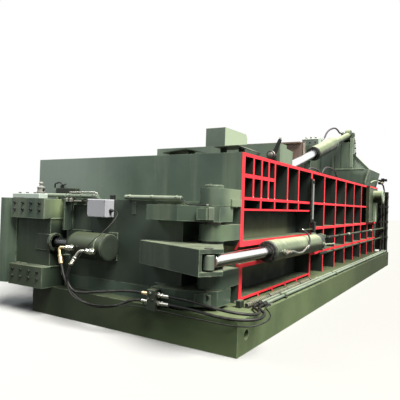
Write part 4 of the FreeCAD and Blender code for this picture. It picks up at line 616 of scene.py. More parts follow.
lay_cord("lid_cylinder_loop", lid_arch(), 1.920, LID_HOSE_R, "mauve", "lid_cylinder", "lid_cylinder_hose")
lay_cord("wall_hose_front", wall_arch(*WALL_HOSES[0], 0.06), 0.760, HOSE_R, "mauve", "frame",
         "wall_top_hoses")
lay_cord("wall_hose_rear", wall_arch(*WALL_HOSES[1], 0.16), 1.263, HOSE_R, "mauve", "frame")


# ---------------------------------------------------------------- hydraulic cylinders
FIT = 0.0003
DOOR_CYL = Vector((1.475, 0, 1.047))
DOOR_EYE_Y, DOOR_GLAND_Y, DOOR_BACK_Y, DOOR_PIVOT_Y = -0.285, 1.32, 3.60, 3.80
DOOR_BARREL_R, DOOR_ROD_R, DOOR_ROD_END, EYE_HALF = 0.15, 0.075, 2.56, 0.08
FEED_X, FEED_Z = 1.643, 1.027
LID_FLAT_Y = LID_PIVOT.y - LID_REACH
LID_TILT = (Matrix.Translation(LID_PIVOT) @ Matrix.Rotation(LID_SLOPE, 4, "X")
            @ Matrix.Translation(-LID_PIVOT))
LID_GLAND_Y, LID_BACK_Y = LID_FLAT_Y + 1.86, LID_FLAT_Y + 3.46
LID_BARREL_R, LID_ROD_R, LID_TAIL_R = 0.155, 0.092, 0.082


def gland(piece, at, along, radius, bore, length, screws):
    """The ring that guides the rod: chamfered, with its screws and a wiper seal."""
    piece.use("gland").lathe(at, along, [
        (length, bore), (0.012, bore), (0.0, bore + 0.012), (0.0, radius - 0.01), (0.01, radius),
        (length - 0.008, radius), (length, radius - 0.006)], 48, True)
    piece.use("black").lathe(at - along * 0.006, along, [
        (0, bore + 0.002), (0, bore + 0.012), (0.008, bore + 0.016), (0.02, bore + 0.016),
        (0.02, bore)], 40, True)
    piece.screw_circle(at - along * 0.004, -along, 0.5 * (radius + bore) + 0.008, screws, 0.011)


def barrel(piece, at, along, length, radius, bore, deep, seams):
    """A blind tube with rounded edges and raised weld seams."""
    profile = [(deep, 0), (deep, bore), (0, bore), (0, radius - 0.01), (0.01, radius)]
    raised = ((-0.012, 0), (-0.007, 0.005), (0.007, 0.005), (0.012, 0))
    for seam in seams:
        profile += [(seam + a, radius + b) for a, b in raised]
    profile += [(length - 0.03, radius), (length - 0.01, radius - 0.012), (length, radius - 0.035),
                (length, 0)]
    piece.lathe(at, along, profile, 56)


def rod_shaft(piece, at, along, length, radius):
    piece.lathe(at, along, [(0, 0), (0, radius - 0.008), (0.008, radius), (length - 0.01, radius),
                            (length, radius - 0.01), (length, 0)], 48)


def port(piece, at, along, reach, size):
    """A welded boss with its adapter nut."""
    piece.use("cylinder").lathe(at, along, [(0, size * 1.5), (0.35 * reach, size * 1.5),
                                            (0.5 * reach, size * 1.25), (0.5 * reach, 0)], 24)
    piece.use("zinc").nut(at + along * 0.5 * reach, along, size * 1.15, 0.5 * reach)


def door_cylinder():
    piece = Piece("cylinder")
    barrel(piece, DOOR_CYL + Y * DOOR_GLAND_Y, Y, DOOR_BACK_Y - DOOR_GLAND_Y, DOOR_BARREL_R, DOOR_ROD_R + FIT,
           2.236, (0.34, 2.06))
    piece.use("gland").lathe(DOOR_CYL + Y * (DOOR_BACK_Y - 0.22), Y, [
        (0.2, 0), (0.2, 0.12), (0, 0.12), (0, 0.148), (0.004, 0.1502), (0.19, 0.1502), (0.222, 0.13),
        (0.25, 0.115), (0.27, 0.09), (0.27, 0)], 56)
    piece.block(about(DOOR_CYL.x, 0.045), (DOOR_BACK_Y, DOOR_PIVOT_Y), about(DOOR_CYL.z, EYE_HALF))
    piece.ring(DOOR_CYL + Vector((0, DOOR_PIVOT_Y, -EYE_HALF)), Z, 0.0405, 0.08, 0.16, 36, 0.004)
    gland(piece, DOOR_CYL + Y * (DOOR_GLAND_Y - 0.04), Y, DOOR_BARREL_R - 0.002, DOOR_ROD_R + FIT, 0.04, 12)
    for y in (DOOR_GLAND_Y + 0.24, DOOR_BACK_Y - 0.13):
        port(piece, Vector((DOOR_CYL.x + DOOR_BARREL_R - 0.008, y, FEED_Z)), X, 0.045, 0.03)
        piece.nut((FEED_X, y - 0.03, FEED_Z), Y, 0.026, 0.075)
    piece.use("brass").lathe((FEED_X, 1.605, FEED_Z), Y, [
        (0, 0.02), (0.01, 0.023), (0.05, 0.023), (0.06, 0.02)], 20)
    piece.use("zinc").tube(rounded([
        (FEED_X, 1.63, FEED_Z), (1.645, 1.86, FEED_Z), (1.655, 2.02, 0.985), (LOOP_X, 2.22, 0.985),
        (LOOP_X, 2.36, FEED_Z), (LOOP_X, 2.45, 1.05)], 0.09), 0.015)
    piece.nut((FEED_X, 1.70, FEED_Z), Y, 0.025, 0.05)
    hose_way = Vector((0, 0.144, 0.0368)).normalized()
    piece.nut((LOOP_X, 2.40, 1.037), hose_way, 0.027, 0.04)
    piece.ferrule((LOOP_X, 2.44, 1.047), hose_way, 0.015, 0.075)
    piece.use("cylinder").tube([(FEED_X, 3.52, FEED_Z), (FEED_X, 4.06, 1.002)], 0.016)
    piece.use("zinc").nut((FEED_X, 4.03, 1.003), Y, 0.026, 0.05)
    piece.ride("door_cylinder_body", "door_cylinder", "cylinder_paint", "door_cylinder_barrel",
               "door_cylinder_gland", "door_cylinder_ports")

    rod = Piece("chrome")
    eye = DOOR_CYL + Vector((0, DOOR_EYE_Y, -EYE_HALF))
    start = DOOR_EYE_Y + 0.07
    rod_shaft(rod, DOOR_CYL + Y * start, Y, DOOR_ROD_END - start, DOOR_ROD_R)
    rod.use("primer").lathe(DOOR_CYL + Y * (start - 0.012), Y, [(0, 0.03), (0, 0.066), (0.005, 0.071),
                                                                (0.014, 0.071)], 40)
    rod.use("lid").ring(eye, Z, 0.045, 0.062, 0.16, 40, 0.006)
    rod.use("steel").ring(eye - Z * 0.003, Z, 0.035, 0.05, 0.166, 32)
    rod.ride("door_rod_body", "door_rod", "rod_chrome", "door_cylinder_rod")


def lid_cylinder():
    """Drawn level, then tilted about the rear pivot."""
    axis = Vector((LID_PIVOT.x, 0, LID_PIVOT.z))
    tail = LID_PIVOT.y - LID_BACK_Y
    piece = Piece("cylinder")
    barrel(piece, axis + Y * LID_GLAND_Y, Y, LID_BACK_Y - LID_GLAND_Y, LID_BARREL_R, LID_ROD_R + FIT, 1.54,
           (0.12, 1.45))
    piece.lathe(axis + Y * (LID_BACK_Y - 0.01), Y, [(0, 0.13), (0.05, 0.118), (0.10, LID_TAIL_R),
                                                    (tail - 0.08, LID_TAIL_R), (tail - 0.05, 0.06)], 40)
    piece.lathe(LID_PIVOT - X * 0.07, X, [(0, 0.0455), (0, 0.14), (0.008, 0.15), (0.132, 0.15), (0.14, 0.14),
                                          (0.14, 0.0455)], 48, True)
    gland(piece, axis + Y * (LID_GLAND_Y - 0.045), Y, LID_BARREL_R + 0.004, LID_ROD_R + FIT, 0.045, 12)

    def over(y, up):
        """A place at the hose's X, up from the axis."""
        return Vector((LID_PIVOT.x - 0.095, y, axis.z + up))

    start_y, end_y = LID_GLAND_Y + 0.68, LID_PIVOT.y - 0.35
    link_end = start_y + 0.363
    link = [over(start_y, 0.11), over(start_y, LINK_UP), over(link_end, LINK_UP)]
    piece.use("zinc").tube(rounded(link, 0.06), 0.024)
    for y, up, way, size, length in (
            (start_y, 0.10, Z, 0.036, 0.05), (link_end - 0.09, LINK_UP, Y, 0.034, 0.05),
            (end_y, TAIL_UP, Y, 0.034, 0.06)):
        piece.nut(over(y, up), way, size, length)
    piece.ferrule(over(link_end - 0.02, LINK_UP), Y, LID_HOSE_R, 0.09)
    piece.ferrule(over(end_y, TAIL_UP), -Y, LID_HOSE_R, 0.09)
    piece.use("hull").block((LID_PIVOT.x - 0.115, LID_PIVOT.x - 0.045), (end_y, end_y + 0.06),
                            (axis.z - 0.02, axis.z + 0.13))
    piece.ride("lid_cylinder_body", "lid_cylinder", "cylinder_paint", "lid_cylinder_barrel",
               "lid_cylinder_gland", tilt=LID_TILT)

    rod = Piece("chrome")
    rod_shaft(rod, axis + Y * (LID_FLAT_Y + 0.16), Y, 1.85, LID_ROD_R)
    rod.use("gland").ring((LID_PIVOT.x - LID_ROD_R, LID_FLAT_Y, axis.z), X, 0.05, 0.11, 0.184, 44, 0.006)
    rod.lathe(axis + Y * (LID_FLAT_Y + 0.07), Y, [(0, 0.08), (0.08, 0.08), (0.09, 0.0915), (0.10, 0.0915),
                                                  (0.10, 0.03)], 40)
    rod.ride("lid_rod_body", "lid_rod", "rod_chrome", "lid_cylinder_rod", tilt=LID_TILT)


# ---------------------------------------------------------------- lock
LOCK_Z, LOCK_R, LOCK_PIN_R = 1.05, 0.182, 0.07
LOCK_LEFT, LOCK_RIGHT = -0.905, -0.184
FRAME_LEFT, FRAME_RIGHT = -2.0, -1.27
BLOCK_FACE, COLUMN_FACE = -0.205, -0.077
HIGH_BLOCK, LOW_BLOCK = (1.385, 1.67), (BASE_TOP, 0.70)
DOOR_FACE, DOOR_LEFT, DOOR_RIGHT, DOOR_LOW, DOOR_HIGH = 0.19, -1.18, 0.82, 0.585, 1.69
TUBE_Z = 1.724
RAIL_Y, RAIL_TOP = BLOCK_FACE + 0.075, HIGH_BLOCK[1] + 0.07


def lock_cylinder():
    piece = Piece("shaded_barrel")
    bore = LOCK_PIN_R + FIT
    piece.lathe((LOCK_LEFT, 0, LOCK_Z), X, [
        (0.47, 0), (0.47, bore), (0, bore), (0, 0.115), (0.012, 0.128), (0.085, 0.168), (0.11, 0.179),
        (0.125, LOCK_R), (0.585, LOCK_R), (0.59, 0.176), (0.598, 0.176), (0.603, LOCK_R), (0.70, LOCK_R),
        (0.70, 0)], 64)
    piece.use("shade").lathe((LOCK_LEFT + 0.69, 0, LOCK_Z), X, [
        (0, 0), (0, LOCK_R), (0.006, LOCK_R), (0.022, 0.174), (0.029, 0.16), (0.031, 0.14), (0.031, 0)], 64)
    piece.use("door")
    for x in (LOCK_LEFT + 0.09, LOCK_RIGHT - 0.15):
        piece.block((x, x + 0.06), (DOOR_FACE - 0.065, DOOR_FACE), about(LOCK_Z, 0.15))
        piece.block((x - 0.05, x + 0.11), (DOOR_FACE - 0.022, DOOR_FACE), about(LOCK_Z, 0.19))
    piece.ride("lock_cylinder_body", "door_leaf", "cylinder_paint", "lock_cylinder")

    pin = Piece("pinchrome")
    left, end = FRAME_RIGHT + 0.055, LOCK_LEFT + 0.28
    pin.lathe((left, 0, LOCK_Z), X, [(0, 0), (0, 0.052), (0.018, LOCK_PIN_R), (end - left, LOCK_PIN_R),
                                     (end - left, 0)], 48)
    pin.ride("lock_pin_body", "lock_bolt", "rod_chrome", "lock_pin")

    ring = Piece("shade")
    ring.lathe((FRAME_RIGHT + 0.03, 0, LOCK_Z), X, [
        (0, 0.095), (0, 0.131), (0.014, 0.131), (0.018, 0.127), (0.018, 0.101), (0.014, 0.095)], 48, True)
    ring.screw_circle((FRAME_RIGHT + 0.048, 0, LOCK_Z), X, 0.113, 8, 0.009)
    ring.use("lock").block((FRAME_RIGHT - 0.29, FRAME_RIGHT), (COLUMN_FACE - 0.014, COLUMN_FACE),
                           about(LOCK_Z, 0.115), 0.003)
    ring.ride("lock_collar_ring", "frame", "hull_paint")


def elbow(name, x, z, tip, radius, look, *replaced):
    """A lock port: boss, adapter body, bent tube and the hose's crimped sleeve."""
    piece = Piece("shaded_barrel")
    port_y = -(LOCK_R + 0.032)
    piece.lathe((x + 0.19, 0.02 - LOCK_R, z), -Y, [(0, 0.05), (0.022, 0.05), (0.028, 0.044), (0.05, 0.044),
                                                   (0.05, 0)], 28)
    piece.use("zinc").nut((x + 0.19, port_y + 0.012, z), -Y, 0.04, 0.03)
    piece.nut((x + 0.262, port_y, z), -X, 0.034, 0.06)
    piece.lathe((x + 0.21, port_y, z), -X, [(0, 0.026), (0.07, 0.026)], 24)
    piece.nut((x + 0.165, port_y, z), -X, 0.034, 0.045)
    tip, bend = Vector(tip), Vector((x, port_y - 0.01, z))
    way = (tip - bend).normalized()
    piece.use(look).tube(rounded([(x + 0.125, port_y, z), bend, tip], 0.062, 8), radius, 20)
    piece.nut(tip - way * 0.055, way, radius * 1.45, 0.03)
    piece.ferrule(tip - way * 0.02, way, radius, 0.085)
    piece.ride(name, "door_leaf", "zinc_fitting", *replaced)


def manifold():
    piece = Piece("shade")
    x0, x1 = MANIFOLD_LEFT, MANIFOLD_RIGHT
    front = HINGE_PLATE_FACE - 0.12
    piece.block((x0, x1), (front, HINGE_PLATE_FACE), (0.376, 0.625), 0.007)
    for z, look in ((PORT_HIGH, "brass"), (PORT_LOW, "zinc")):
        piece.use(look).nut((x0, MANIFOLD_Y, z), -X, 0.031, 0.035)
        piece.ferrule((x0 - 0.035, MANIFOLD_Y, z), -X, HOSE_R, 0.075)
        piece.use("zinc").nut((x1, MANIFOLD_Y, z), X, 0.033, 0.045)
        piece.lathe((x1 + 0.04, MANIFOLD_Y, z), X, [(0, 0.02), (0.03, 0.02)], 20)
        piece.nut((x1 + 0.068, MANIFOLD_Y, z), X, 0.03, 0.02)
        piece.ferrule((x1 + 0.085, MANIFOLD_Y, z), X, HOSE_R, 0.085)
    piece.nut((x0 + 0.06, front, 0.59), -Y, 0.018, 0.012)
    bends = ((0.01, 0.40), (-0.05, 0.40), (-0.09, 0.43), (-0.10, 0.45))
    drain = [(x0 + dx, MANIFOLD_Y, z) for dx, z in bends]
    piece.use("black").tube(rounded(drain, 0.03), 0.007)
    piece.use("steel")
    for x in (x0 + 0.025, x1 - 0.025):
        piece.cap_screw((x, front, 0.515), -Y, 0.011)
    piece.ride("manifold_body", "door_leaf", "hull_paint", "hose_manifold", "manifold_fittings")


def lock_frame_trim():
    """Near-black screws in pairs, the rail on top with its bolts, conduit rests and welds."""
    dark = Piece("black")
    for z0, z1 in (HIGH_BLOCK, LOW_BLOCK):
        for share in (0.42, 0.76):
            for i in range(4):
                x = FRAME_LEFT + (FRAME_RIGHT - FRAME_LEFT) * (0.12 + 0.25 * i)
                dark.cap_screw((x, BLOCK_FACE, z0 + (z1 - z0) * share), -Y, 0.021)
    top = HIGH_BLOCK[1]
    dark.use("grey").block((FRAME_LEFT + 0.02, FRAME_RIGHT - 0.11), (BLOCK_FACE, BLOCK_FACE + 0.15),
                           (top, RAIL_TOP), 0.006)
    dark.use("steel")
    for i in range(3):
        dark.bolt((FRAME_LEFT + 0.09 + 0.17 * i, RAIL_Y, RAIL_TOP), Z, 0.02)
    dark.use("pipe").lathe((FRAME_LEFT + 0.28, 0.12, TUBE_Z), X, [(0, 0.024), (0.006, 0.03), (0.515, 0.03),
                                                                  (0.52, 0.024)], 24)
    for x in (FRAME_LEFT + 0.32, FRAME_LEFT + 0.62):
        dark.block((x, x + 0.04), (0.09, 0.15), (top, 1.70))
    dark.ride("lock_frame_screws", "frame", "bare_steel", "lock_frame_bolts")

    weld = Piece("lock")
    back = 0.223
    weld.block((FRAME_RIGHT, FRAME_RIGHT + 0.004), (BLOCK_FACE + 0.01, back),
               (HIGH_BLOCK[0] + 0.006, top - 0.006), 0.001)
    for z in (HIGH_BLOCK[0], LOW_BLOCK[1]):
        weld.bead((FRAME_LEFT, COLUMN_FACE, z), (FRAME_RIGHT, COLUMN_FACE, z), 0.012)
        weld.bead((FRAME_RIGHT, COLUMN_FACE, z), (FRAME_RIGHT, back, z), 0.012)
    weld.bead((FRAME_LEFT, BLOCK_FACE, 0.405), (FRAME_LEFT, 0.76, 0.405), 0.012)
    weld.ride("lock_frame_welds", "frame", "hull_paint")


def limit_switch():
    piece = Piece("switch")
    at = Vector((FRAME_RIGHT - 0.17, RAIL_Y, RAIL_TOP))
    piece.lathe(at, Z, [
        (0, 0.055), (0.012, 0.058), (0.03, 0.058), (0.034, 0.05), (0.075, 0.05), (0.08, 0.055),
        (0.095, 0.055), (0.10, 0.044), (0.108, 0.024), (0.135, 0.022), (0.14, 0.03), (0.155, 0.031),
        (0.168, 0.02), (0.17, 0.008)], 32)
    piece.use("steel").screw_circle(at + Z * 0.03, Z, 0.045, 4, 0.008)
    piece.use("black").nut(at + Vector((0.05, 0, 0.06)), X, 0.016, 0.02)
    piece.ride("limit_switch_body", "frame", "box_plastic", "lock_limit_switch")


def junction_box():
    piece = Piece("plastic")
    x0, x1, z0, z1 = -0.665, -0.315, 1.44, 1.685
    piece.block((x0, x1), (0.056, DOOR_FACE), (z0, z1), 0.010)
    piece.block((x0 + 0.003, x1 - 0.003), (0.05, 0.06), (z0 + 0.003, z1 - 0.003), 0.001)
    piece.block((x0, x1), (0.02, 0.052), (z0, z1), 0.010)
    piece.use("steel")
    for x in (x0 + 0.022, x1 - 0.022):
        for z in (z0 + 0.022, z1 - 0.022):
            piece.cap_screw((x, 0.022, z), -Y, 0.007)
    piece.use("black").nut((x1, LEAD_Y, LEAD_Z), X, 0.03, 0.02)
    piece.lathe((x1 + 0.02, LEAD_Y, LEAD_Z), X, [
        (0, 0.022), (0.012, 0.024), (0.03, 0.012), (0.045, 0.008)], 20)
    piece.ride("junction_box_body", "door_leaf", "box_plastic", "junction_box")


def door_conduits():
    """The tubes along the door's top edge, their clips and a bent tie rod."""
    piece = Piece("pipe")
    for x0, x1, y in ((DOOR_LEFT + 0.005, -0.56, 0.12), (-0.09, DOOR_RIGHT - 0.005, 0.15)):
        length = x1 - x0
        piece.lathe((x0, y, TUBE_Z), X, [(0, 0.02), (0, 0.026), (0.005, 0.03), (length - 0.005, 0.03),
                                         (length, 0.026), (length, 0.02)], 24)
        for share in (0, 0.5, 1):
            x = x0 + 0.06 + (length - 0.15) * share
            piece.prism([(y - 0.005, 1.692), (DOOR_FACE + 0.06, 1.692), (DOOR_FACE + 0.06, 1.698), (y, 1.76),
                         (y - 0.034, 1.74)], "x", x, x + 0.03, 0.002)
    hairpin = [(-1.10, 0.10, 1.775), (-0.60, 0.10, 1.782), (-0.55, 0.10, 1.762), (-0.63, 0.10, 1.735)]
    piece.use("zinc").tube(rounded(hairpin, 0.03, 8), 0.009)
    for x in (-1.14, -1.06):
        piece.block((x, x + 0.035), (0.06, 0.11), (1.635, DOOR_HIGH), 0.005)
    piece.block((-1.02, -0.86), (0.10, DOOR_FACE), (1.645, 1.665), 0.003)
    piece.use("black").block((-0.42, -0.35), (DOOR_FACE + 0.01, DOOR_FACE + 0.06),
                             (DOOR_HIGH, DOOR_HIGH + 0.06), 0.006)
    piece.ride("door_top_tubes", "door_leaf", "tube_paint", "door_top_conduits")


door_cylinder()
lid_cylinder()
lock_cylinder()
elbow("elbow_front", -0.905, 1.022, ELBOW_A, 0.022, "brass")
elbow("elbow_rear", -0.52, 1.004, ELBOW_B, 0.020, "zinc", "lock_port_elbows")
manifold()
lock_frame_trim()
limit_switch()
junction_box()
door_conduits()


# ---------------------------------------------------------------- hinge and front details
HINGE = Vector((1.145, 0.36, 0))
CHAMFER_START, CHAMFER_WAY = Vector((1.205, 0.155)), Vector((0.878, 0.479))
CHAMFER_OUT = Vector((0.479, -0.878))


def on_chamfer(along, out):
    """A point on the hinge plates' slanted right edge, seen from above."""
    return tuple(CHAMFER_START + CHAMFER_WAY * along + CHAMFER_OUT * out)


def chamfer_block(piece, along, out, z, bevel=0.004):
    piece.prism([on_chamfer(*corner) for corner in corners(along, out)], "z", *z, bevel)


def hinge_trim():
    """The hinge plates' pads and grease tube, the pin with its cap, and the lever pin's caps."""
    piece = Piece("lid")
    chamfer_block(piece, (-0.005, 0.06), (-0.02, 0.045), (1.475, 1.625))
    chamfer_block(piece, (-0.03, 0.05), (-0.02, 0.02), (0.465, 0.60))
    chamfer_block(piece.use("black"), (-0.055, -0.007), (-0.02, 0.012), (1.48, 1.62), 0.002)
    piece.lathe((*on_chamfer(-0.005, 0.02), 0.565), Vector((*CHAMFER_OUT, 0)), [
        (0, 0.036), (0.006, 0.036), (0.006, 0.02), (0.002, 0.02), (0.002, 0)], 24)
    grease = [(0.815, 0.15, TUBE_Z), (0.865, 0.11, 1.70), (0.94, 0.085, 1.652), (1.07, 0.118, 1.651),
              (1.15, 0.150, 1.651), (1.20, 0.170, 1.651)]
    piece.tube(rounded(grease, 0.05), 0.009, 8)
    piece.use("zinc").nut((1.165, 0.156, 1.652), Vector((0.9, 0.36, 0)), 0.011, 0.03)
    piece.use("hull")
    face = DOOR_FACE - 0.002
    for end, z in ((0.975, 1.459), (0.80, 1.642), (0.975, 0.454), (0.80, 0.644)):
        piece.bead((0.42, face, z), (end, face, z), 0.010)
    piece.ride("hinge_plate_trim", "door_leaf", "hull_paint")

    cap = Piece("hull")
    cap.lathe(HINGE + Z * 1.856, Z, [(0, 0), (0, 0.12), (0.036, 0.12), (0.042, 0.114), (0.042, 0.05),
                                     (0.037, 0.046), (0.037, 0)], 40)
    cap.use("steel").screw_circle(HINGE + Z * 1.898, Z, 0.085, 4, 0.012, cap.bolt)
    cap.use("pale").block((1.21, 1.316), (0.655, 0.675), (1.628, 1.722), 0.005)
    cap.use("black").lathe((1.262, 0.6545, 1.668), -Y, [(0, 0.026), (0.004, 0.026), (0.004, 0)], 20)
    cap.ride("hinge_pin_cap", "frame", "bare_steel", "hinge_pin")

    shaft = Piece("steel")
    shaft.lathe(HINGE + Z * 0.42, Z, [(0, 0), (0, 0.09), (0.01, 0.0998), (1.435, 0.0998), (1.44, 0.095),
                                      (1.44, 0)], 40)
    shaft.ride("hinge_pin_shaft", "frame", "bare_steel")

    keepers = Piece("steel")
    for z, way in ((1.19, Z), (0.905, -Z)):
        keepers.cap((DOOR_CYL.x, DOOR_EYE_Y, z), way, 0.05, 0.006, 0.045, 0.009, 28)
    keepers.ride("lever_pin_caps", "door_leaf", "bare_steel")


def front_plate_trim():
    piece = Piece("shade")
    piece.block((-2.10, -1.62), (0.69, 0.766), (1.77, 1.86), 0.006)
    handle = [(-2.14, 0.71, 1.86), (-2.14, 0.70, 1.93), (-2.0, 0.69, 1.955), (-1.93, 0.69, 1.90),
              (-1.86, 0.69, 1.92)]
    piece.use("black").tube(rounded(handle, 0.04), 0.012, 8)
    piece.nut((-1.98, 0.72, 1.855), Z, 0.03, 0.05)
    piece.use("frame").bead((-2.60, 0.764, 0.41), (-2.02, 0.764, 0.41), 0.010)
    piece.use("pale").block((-1.262, -1.192), (0.20, 0.30), (BASE_TOP, 0.575), 0.006)
    piece.ride("front_plate_trim", "frame", "hull_paint")

    door = Piece("hull")
    door.block((0.0, 0.075), (0.182, DOOR_FACE), (1.50, 1.66), 0.003)
    door.use("door").frame_bead(corners((-1.12, -0.76), (1.235, 1.60)), "y", DOOR_FACE + 0.002, 0.007)
    for z in (0.868, 1.232):
        door.bead((DOOR_LEFT, 0.06, z), (DOOR_LEFT, 0.185, z), 0.008)
    low = DOOR_LOW + 0.004
    door.use("pale").bead((0.42, DOOR_FACE, low), (0.815, DOOR_FACE, low), 0.010, 0.035)
    door.ride("door_face_trim", "door_leaf", "hull_paint")


def slot_corners():
    """Red cut edges slanting into the cylinder's slot, and pale dots where ribs meet rails: painted glints on
    the welds there.
    """
    piece = Piece("red")
    slant = ((0.001, 0.10), (0.001, 0.03), (0.048, -0.045), (0.083, -0.045))
    for z, out in ((1.13, 1), (0.91, -1)):
        piece.prism([(WALL_X - dx, z + dz * out) for dx, dz in slant], "y", 0.761, 0.768, 0.001)
    piece.use("grey")
    # pale domes: painted glints where ribs meet rails
    dot = [(0, 0.010), (0.006, 0.009), (0.009, 0.005), (0.010, 0)]
    for y in (1.12, 1.39, 1.64, 1.88, 2.42, 2.95, *(4.51 + 0.88 * i for i in range(7))):
        piece.lathe((WALL_X - 0.002, y, 1.775), X, dot, 10)
    piece.ride("rib_edge_marks", "frame", "rib_paint")


# ---------------------------------------------------------------- pipes and rail
PIPE_R, PIPE_END = 0.021, 10.1
HIGH_PIPE, LOW_PIPE = (1.55, 1.125), (1.48, 0.83)  # X and Z
DROP_X, DROP_Y = 1.345, 3.672


def corrugated_rail():
    piece = Piece("black")
    low, high, pitch = 0.63, 3.13, 0.05
    x, z = 1.50, 0.436
    piece.bar((x, low, z), Y, 0.021, high - low, 14)
    piece.use("tray")
    for i in range(int((high - low) / pitch)):
        piece.lathe((x, low + i * pitch, z), Y, [(0, 0.019), (0, 0.028), (0.006, 0.032), (0.022, 0.032),
                                                 (0.028, 0.028), (0.028, 0.019)], 14, True)
    piece.use("black").block(about(x, 0.036), (0.62, 3.14), (0.4035, 0.409), 0.001)
    piece.use("steel")
    saddle = ((-0.037, 0.404), (0.037, 0.404), (0.037, 0.455), (0.02, 0.473), (-0.02, 0.473), (-0.037, 0.455))
    for y in (0.70, 1.33, 1.95, 2.58, 3.08):
        piece.prism([(x + dx, up) for dx, up in saddle], "y", y, y + 0.02, 0.002)
    piece.ride("corrugated_rail", "frame", "bare_steel", "hose_tray")


def union(piece, at, size=0.031, length=0.09):
    """Two nuts and the collar between them, on a pipe along Y."""
    at = Vector(at)
    piece.nut(at - Y * length * 0.5, Y, size, length * 0.38)
    piece.lathe(at - Y * length * 0.12, Y, [(0, size * 0.78), (length * 0.24, size * 0.78)], 20)
    piece.nut(at + Y * length * 0.12, Y, size, length * 0.38)


def long_pipes():
    """Two pipes along the wall and two on the base, with unions and ends, and the drop tube."""
    piece = Piece("sidepipe")
    for x, z, start, look, joint in (
            (*HIGH_PIPE, 3.93, "sidepipe", "zinc"), (*LOW_PIPE, 3.71, "sidepipe", "sidepipe"),
            (INNER_PIPE, BASE_PIPE_Z, 0.88, "lid", "lid"), (OUTER_PIPE, BASE_PIPE_Z, 0.88, "lid", "lid")):
        piece.use(look).bar((x, start, z), Y, PIPE_R, PIPE_END - start, 16)
        piece.use(joint)
        for y in (3.25, 5.65, 8.15):
            if y > start + 0.4:
                union(piece, (x, y, z))
        piece.use("black")
        if z == BASE_PIPE_Z:
            piece.nut((x, start - 0.03, z), Y, 0.031, 0.04)
            piece.ferrule((x, start - 0.02, z), -Y, 0.018, 0.07)
        else:
            piece.nut((x, start + 0.03, z), Y, 0.034, 0.05)
            piece.lathe((x, start + 0.16, z), Y, [
                (0, 0.022), (0.005, 0.029), (0.29, 0.029), (0.295, 0.022)], 16)
    piece.use("zinc").nut((THIN_X, THIN_Y, THIN_Z), Y, 0.014, 0.03)
    piece.lathe((THIN_X, THIN_Y + 0.025, THIN_Z), Y, [(0, 0.009), (0.045, 0.009)], 12)
    piece.use("droptube").bar((DROP_X, DROP_Y, 1.41), Z, PIPE_R, 0.77, 20)
    piece.use("black").nut((DROP_X, DROP_Y, 1.415), Z, 0.032, 0.045)
    piece.nut((DROP_X, DROP_Y, 2.12), Z, 0.032, 0.05)
    piece.use("sidepipe").bar((LOOP_END_X, 3.14, LOOP_END_Z), Y, DOOR_HOSE_R, 0.487, 14)
    piece.use("zinc").nut((LOOP_END_X, 3.115, LOOP_END_Z), Y, 0.023, 0.035)
    piece.ferrule((LOOP_END_X, 3.115, LOOP_END_Z), -Y, DOOR_HOSE_R, 0.055)
    piece.ride("long_pipes", "frame", "tube_paint", "side_pipes")


def pipe_trim():
    """The tee, clamps, saddles and hose feet that hold the pipes."""
    piece = Piece("black")
    piece.block((WALL_X, 1.40), (3.627, 3.717), (1.225, 1.41), 0.006)
    for (x, z), places in ((HIGH_PIPE, (4.76, 6.90, 9.30)), (LOW_PIPE, (4.60, 7.05, 9.05))):
        for y in places:
            piece.block((WALL_X, x + 0.03), (y, y + 0.045), (z - 0.031, z - 0.019), 0.002)
            piece.ring((x, y - 0.004, z), Y, 0.022, 0.033, 0.053, 20)
    for x, *ends in WALL_HOSES:
        for y in ends:
            piece.block(about(x, 0.03), about(y, 0.03), (DECK, 2.366), 0.003)
            piece.nut((x, y, 2.362), Z, 0.028, 0.03)
    piece.bar((1.342, 3.585, 1.40), Z, 0.022, 0.80, 14)
    piece.use("sidepipe")
    for y in (1.5, 4.2, 7.0, 9.6):
        piece.block((1.535, 1.69), (y, y + 0.05), (BASE_TOP, 0.432), 0.003)
        for x in (INNER_PIPE, OUTER_PIPE):
            piece.ring((x, y, BASE_PIPE_Z), Y, 0.0215, 0.027, 0.05, 20)
    piece.use("red").block((1.3175, 1.36), (3.62, 3.69), (2.165, 2.192), 0.003)
    piece.use("shade").block((1.385, 1.455), (0.56, 0.66), (0.404, 0.495), 0.008)
    piece.use("zinc").nut((1.385, 0.60, 0.46), -X, 0.022, 0.035)
    piece.ride("pipe_trim", "frame", "bare_steel", "pipe_clamps")


# ---------------------------------------------------------------- lid and rear post
def lid_catch():
    piece = Piece("steel")
    centre, radius = Vector((1.205, 1.995, 2.45)), 0.078
    angles = [math.pi * i / 12 for i in range(13)]
    ball = [(radius - radius * math.cos(a), max(0.0, radius * math.sin(a))) for a in angles]
    piece.lathe(centre - Z * radius, Z, ball, 32)
    piece.use("black").ring(centre - Y * 0.05, -Y, 0.045, 0.062, 0.012, 28)
    piece.prism([(1.235, DECK_SEAM), (1.285, DECK_SEAM), (1.275, 2.47), (1.36, 2.67), (1.345, 2.70),
                 (1.315, 2.69), (1.225, 2.50)], "y", 1.965, 2.005, 0.005)
    piece.use("zinc").cap(centre - Y * 0.045, -Y, 0.044, 0.016, 0.034, 0.024, 24)
    piece.block((1.33, 1.352), (1.96, 2.01), (2.69, 2.715), 0.003)
    piece.ride("lid_catch_body", "frame", "bare_steel", "lid_catch")


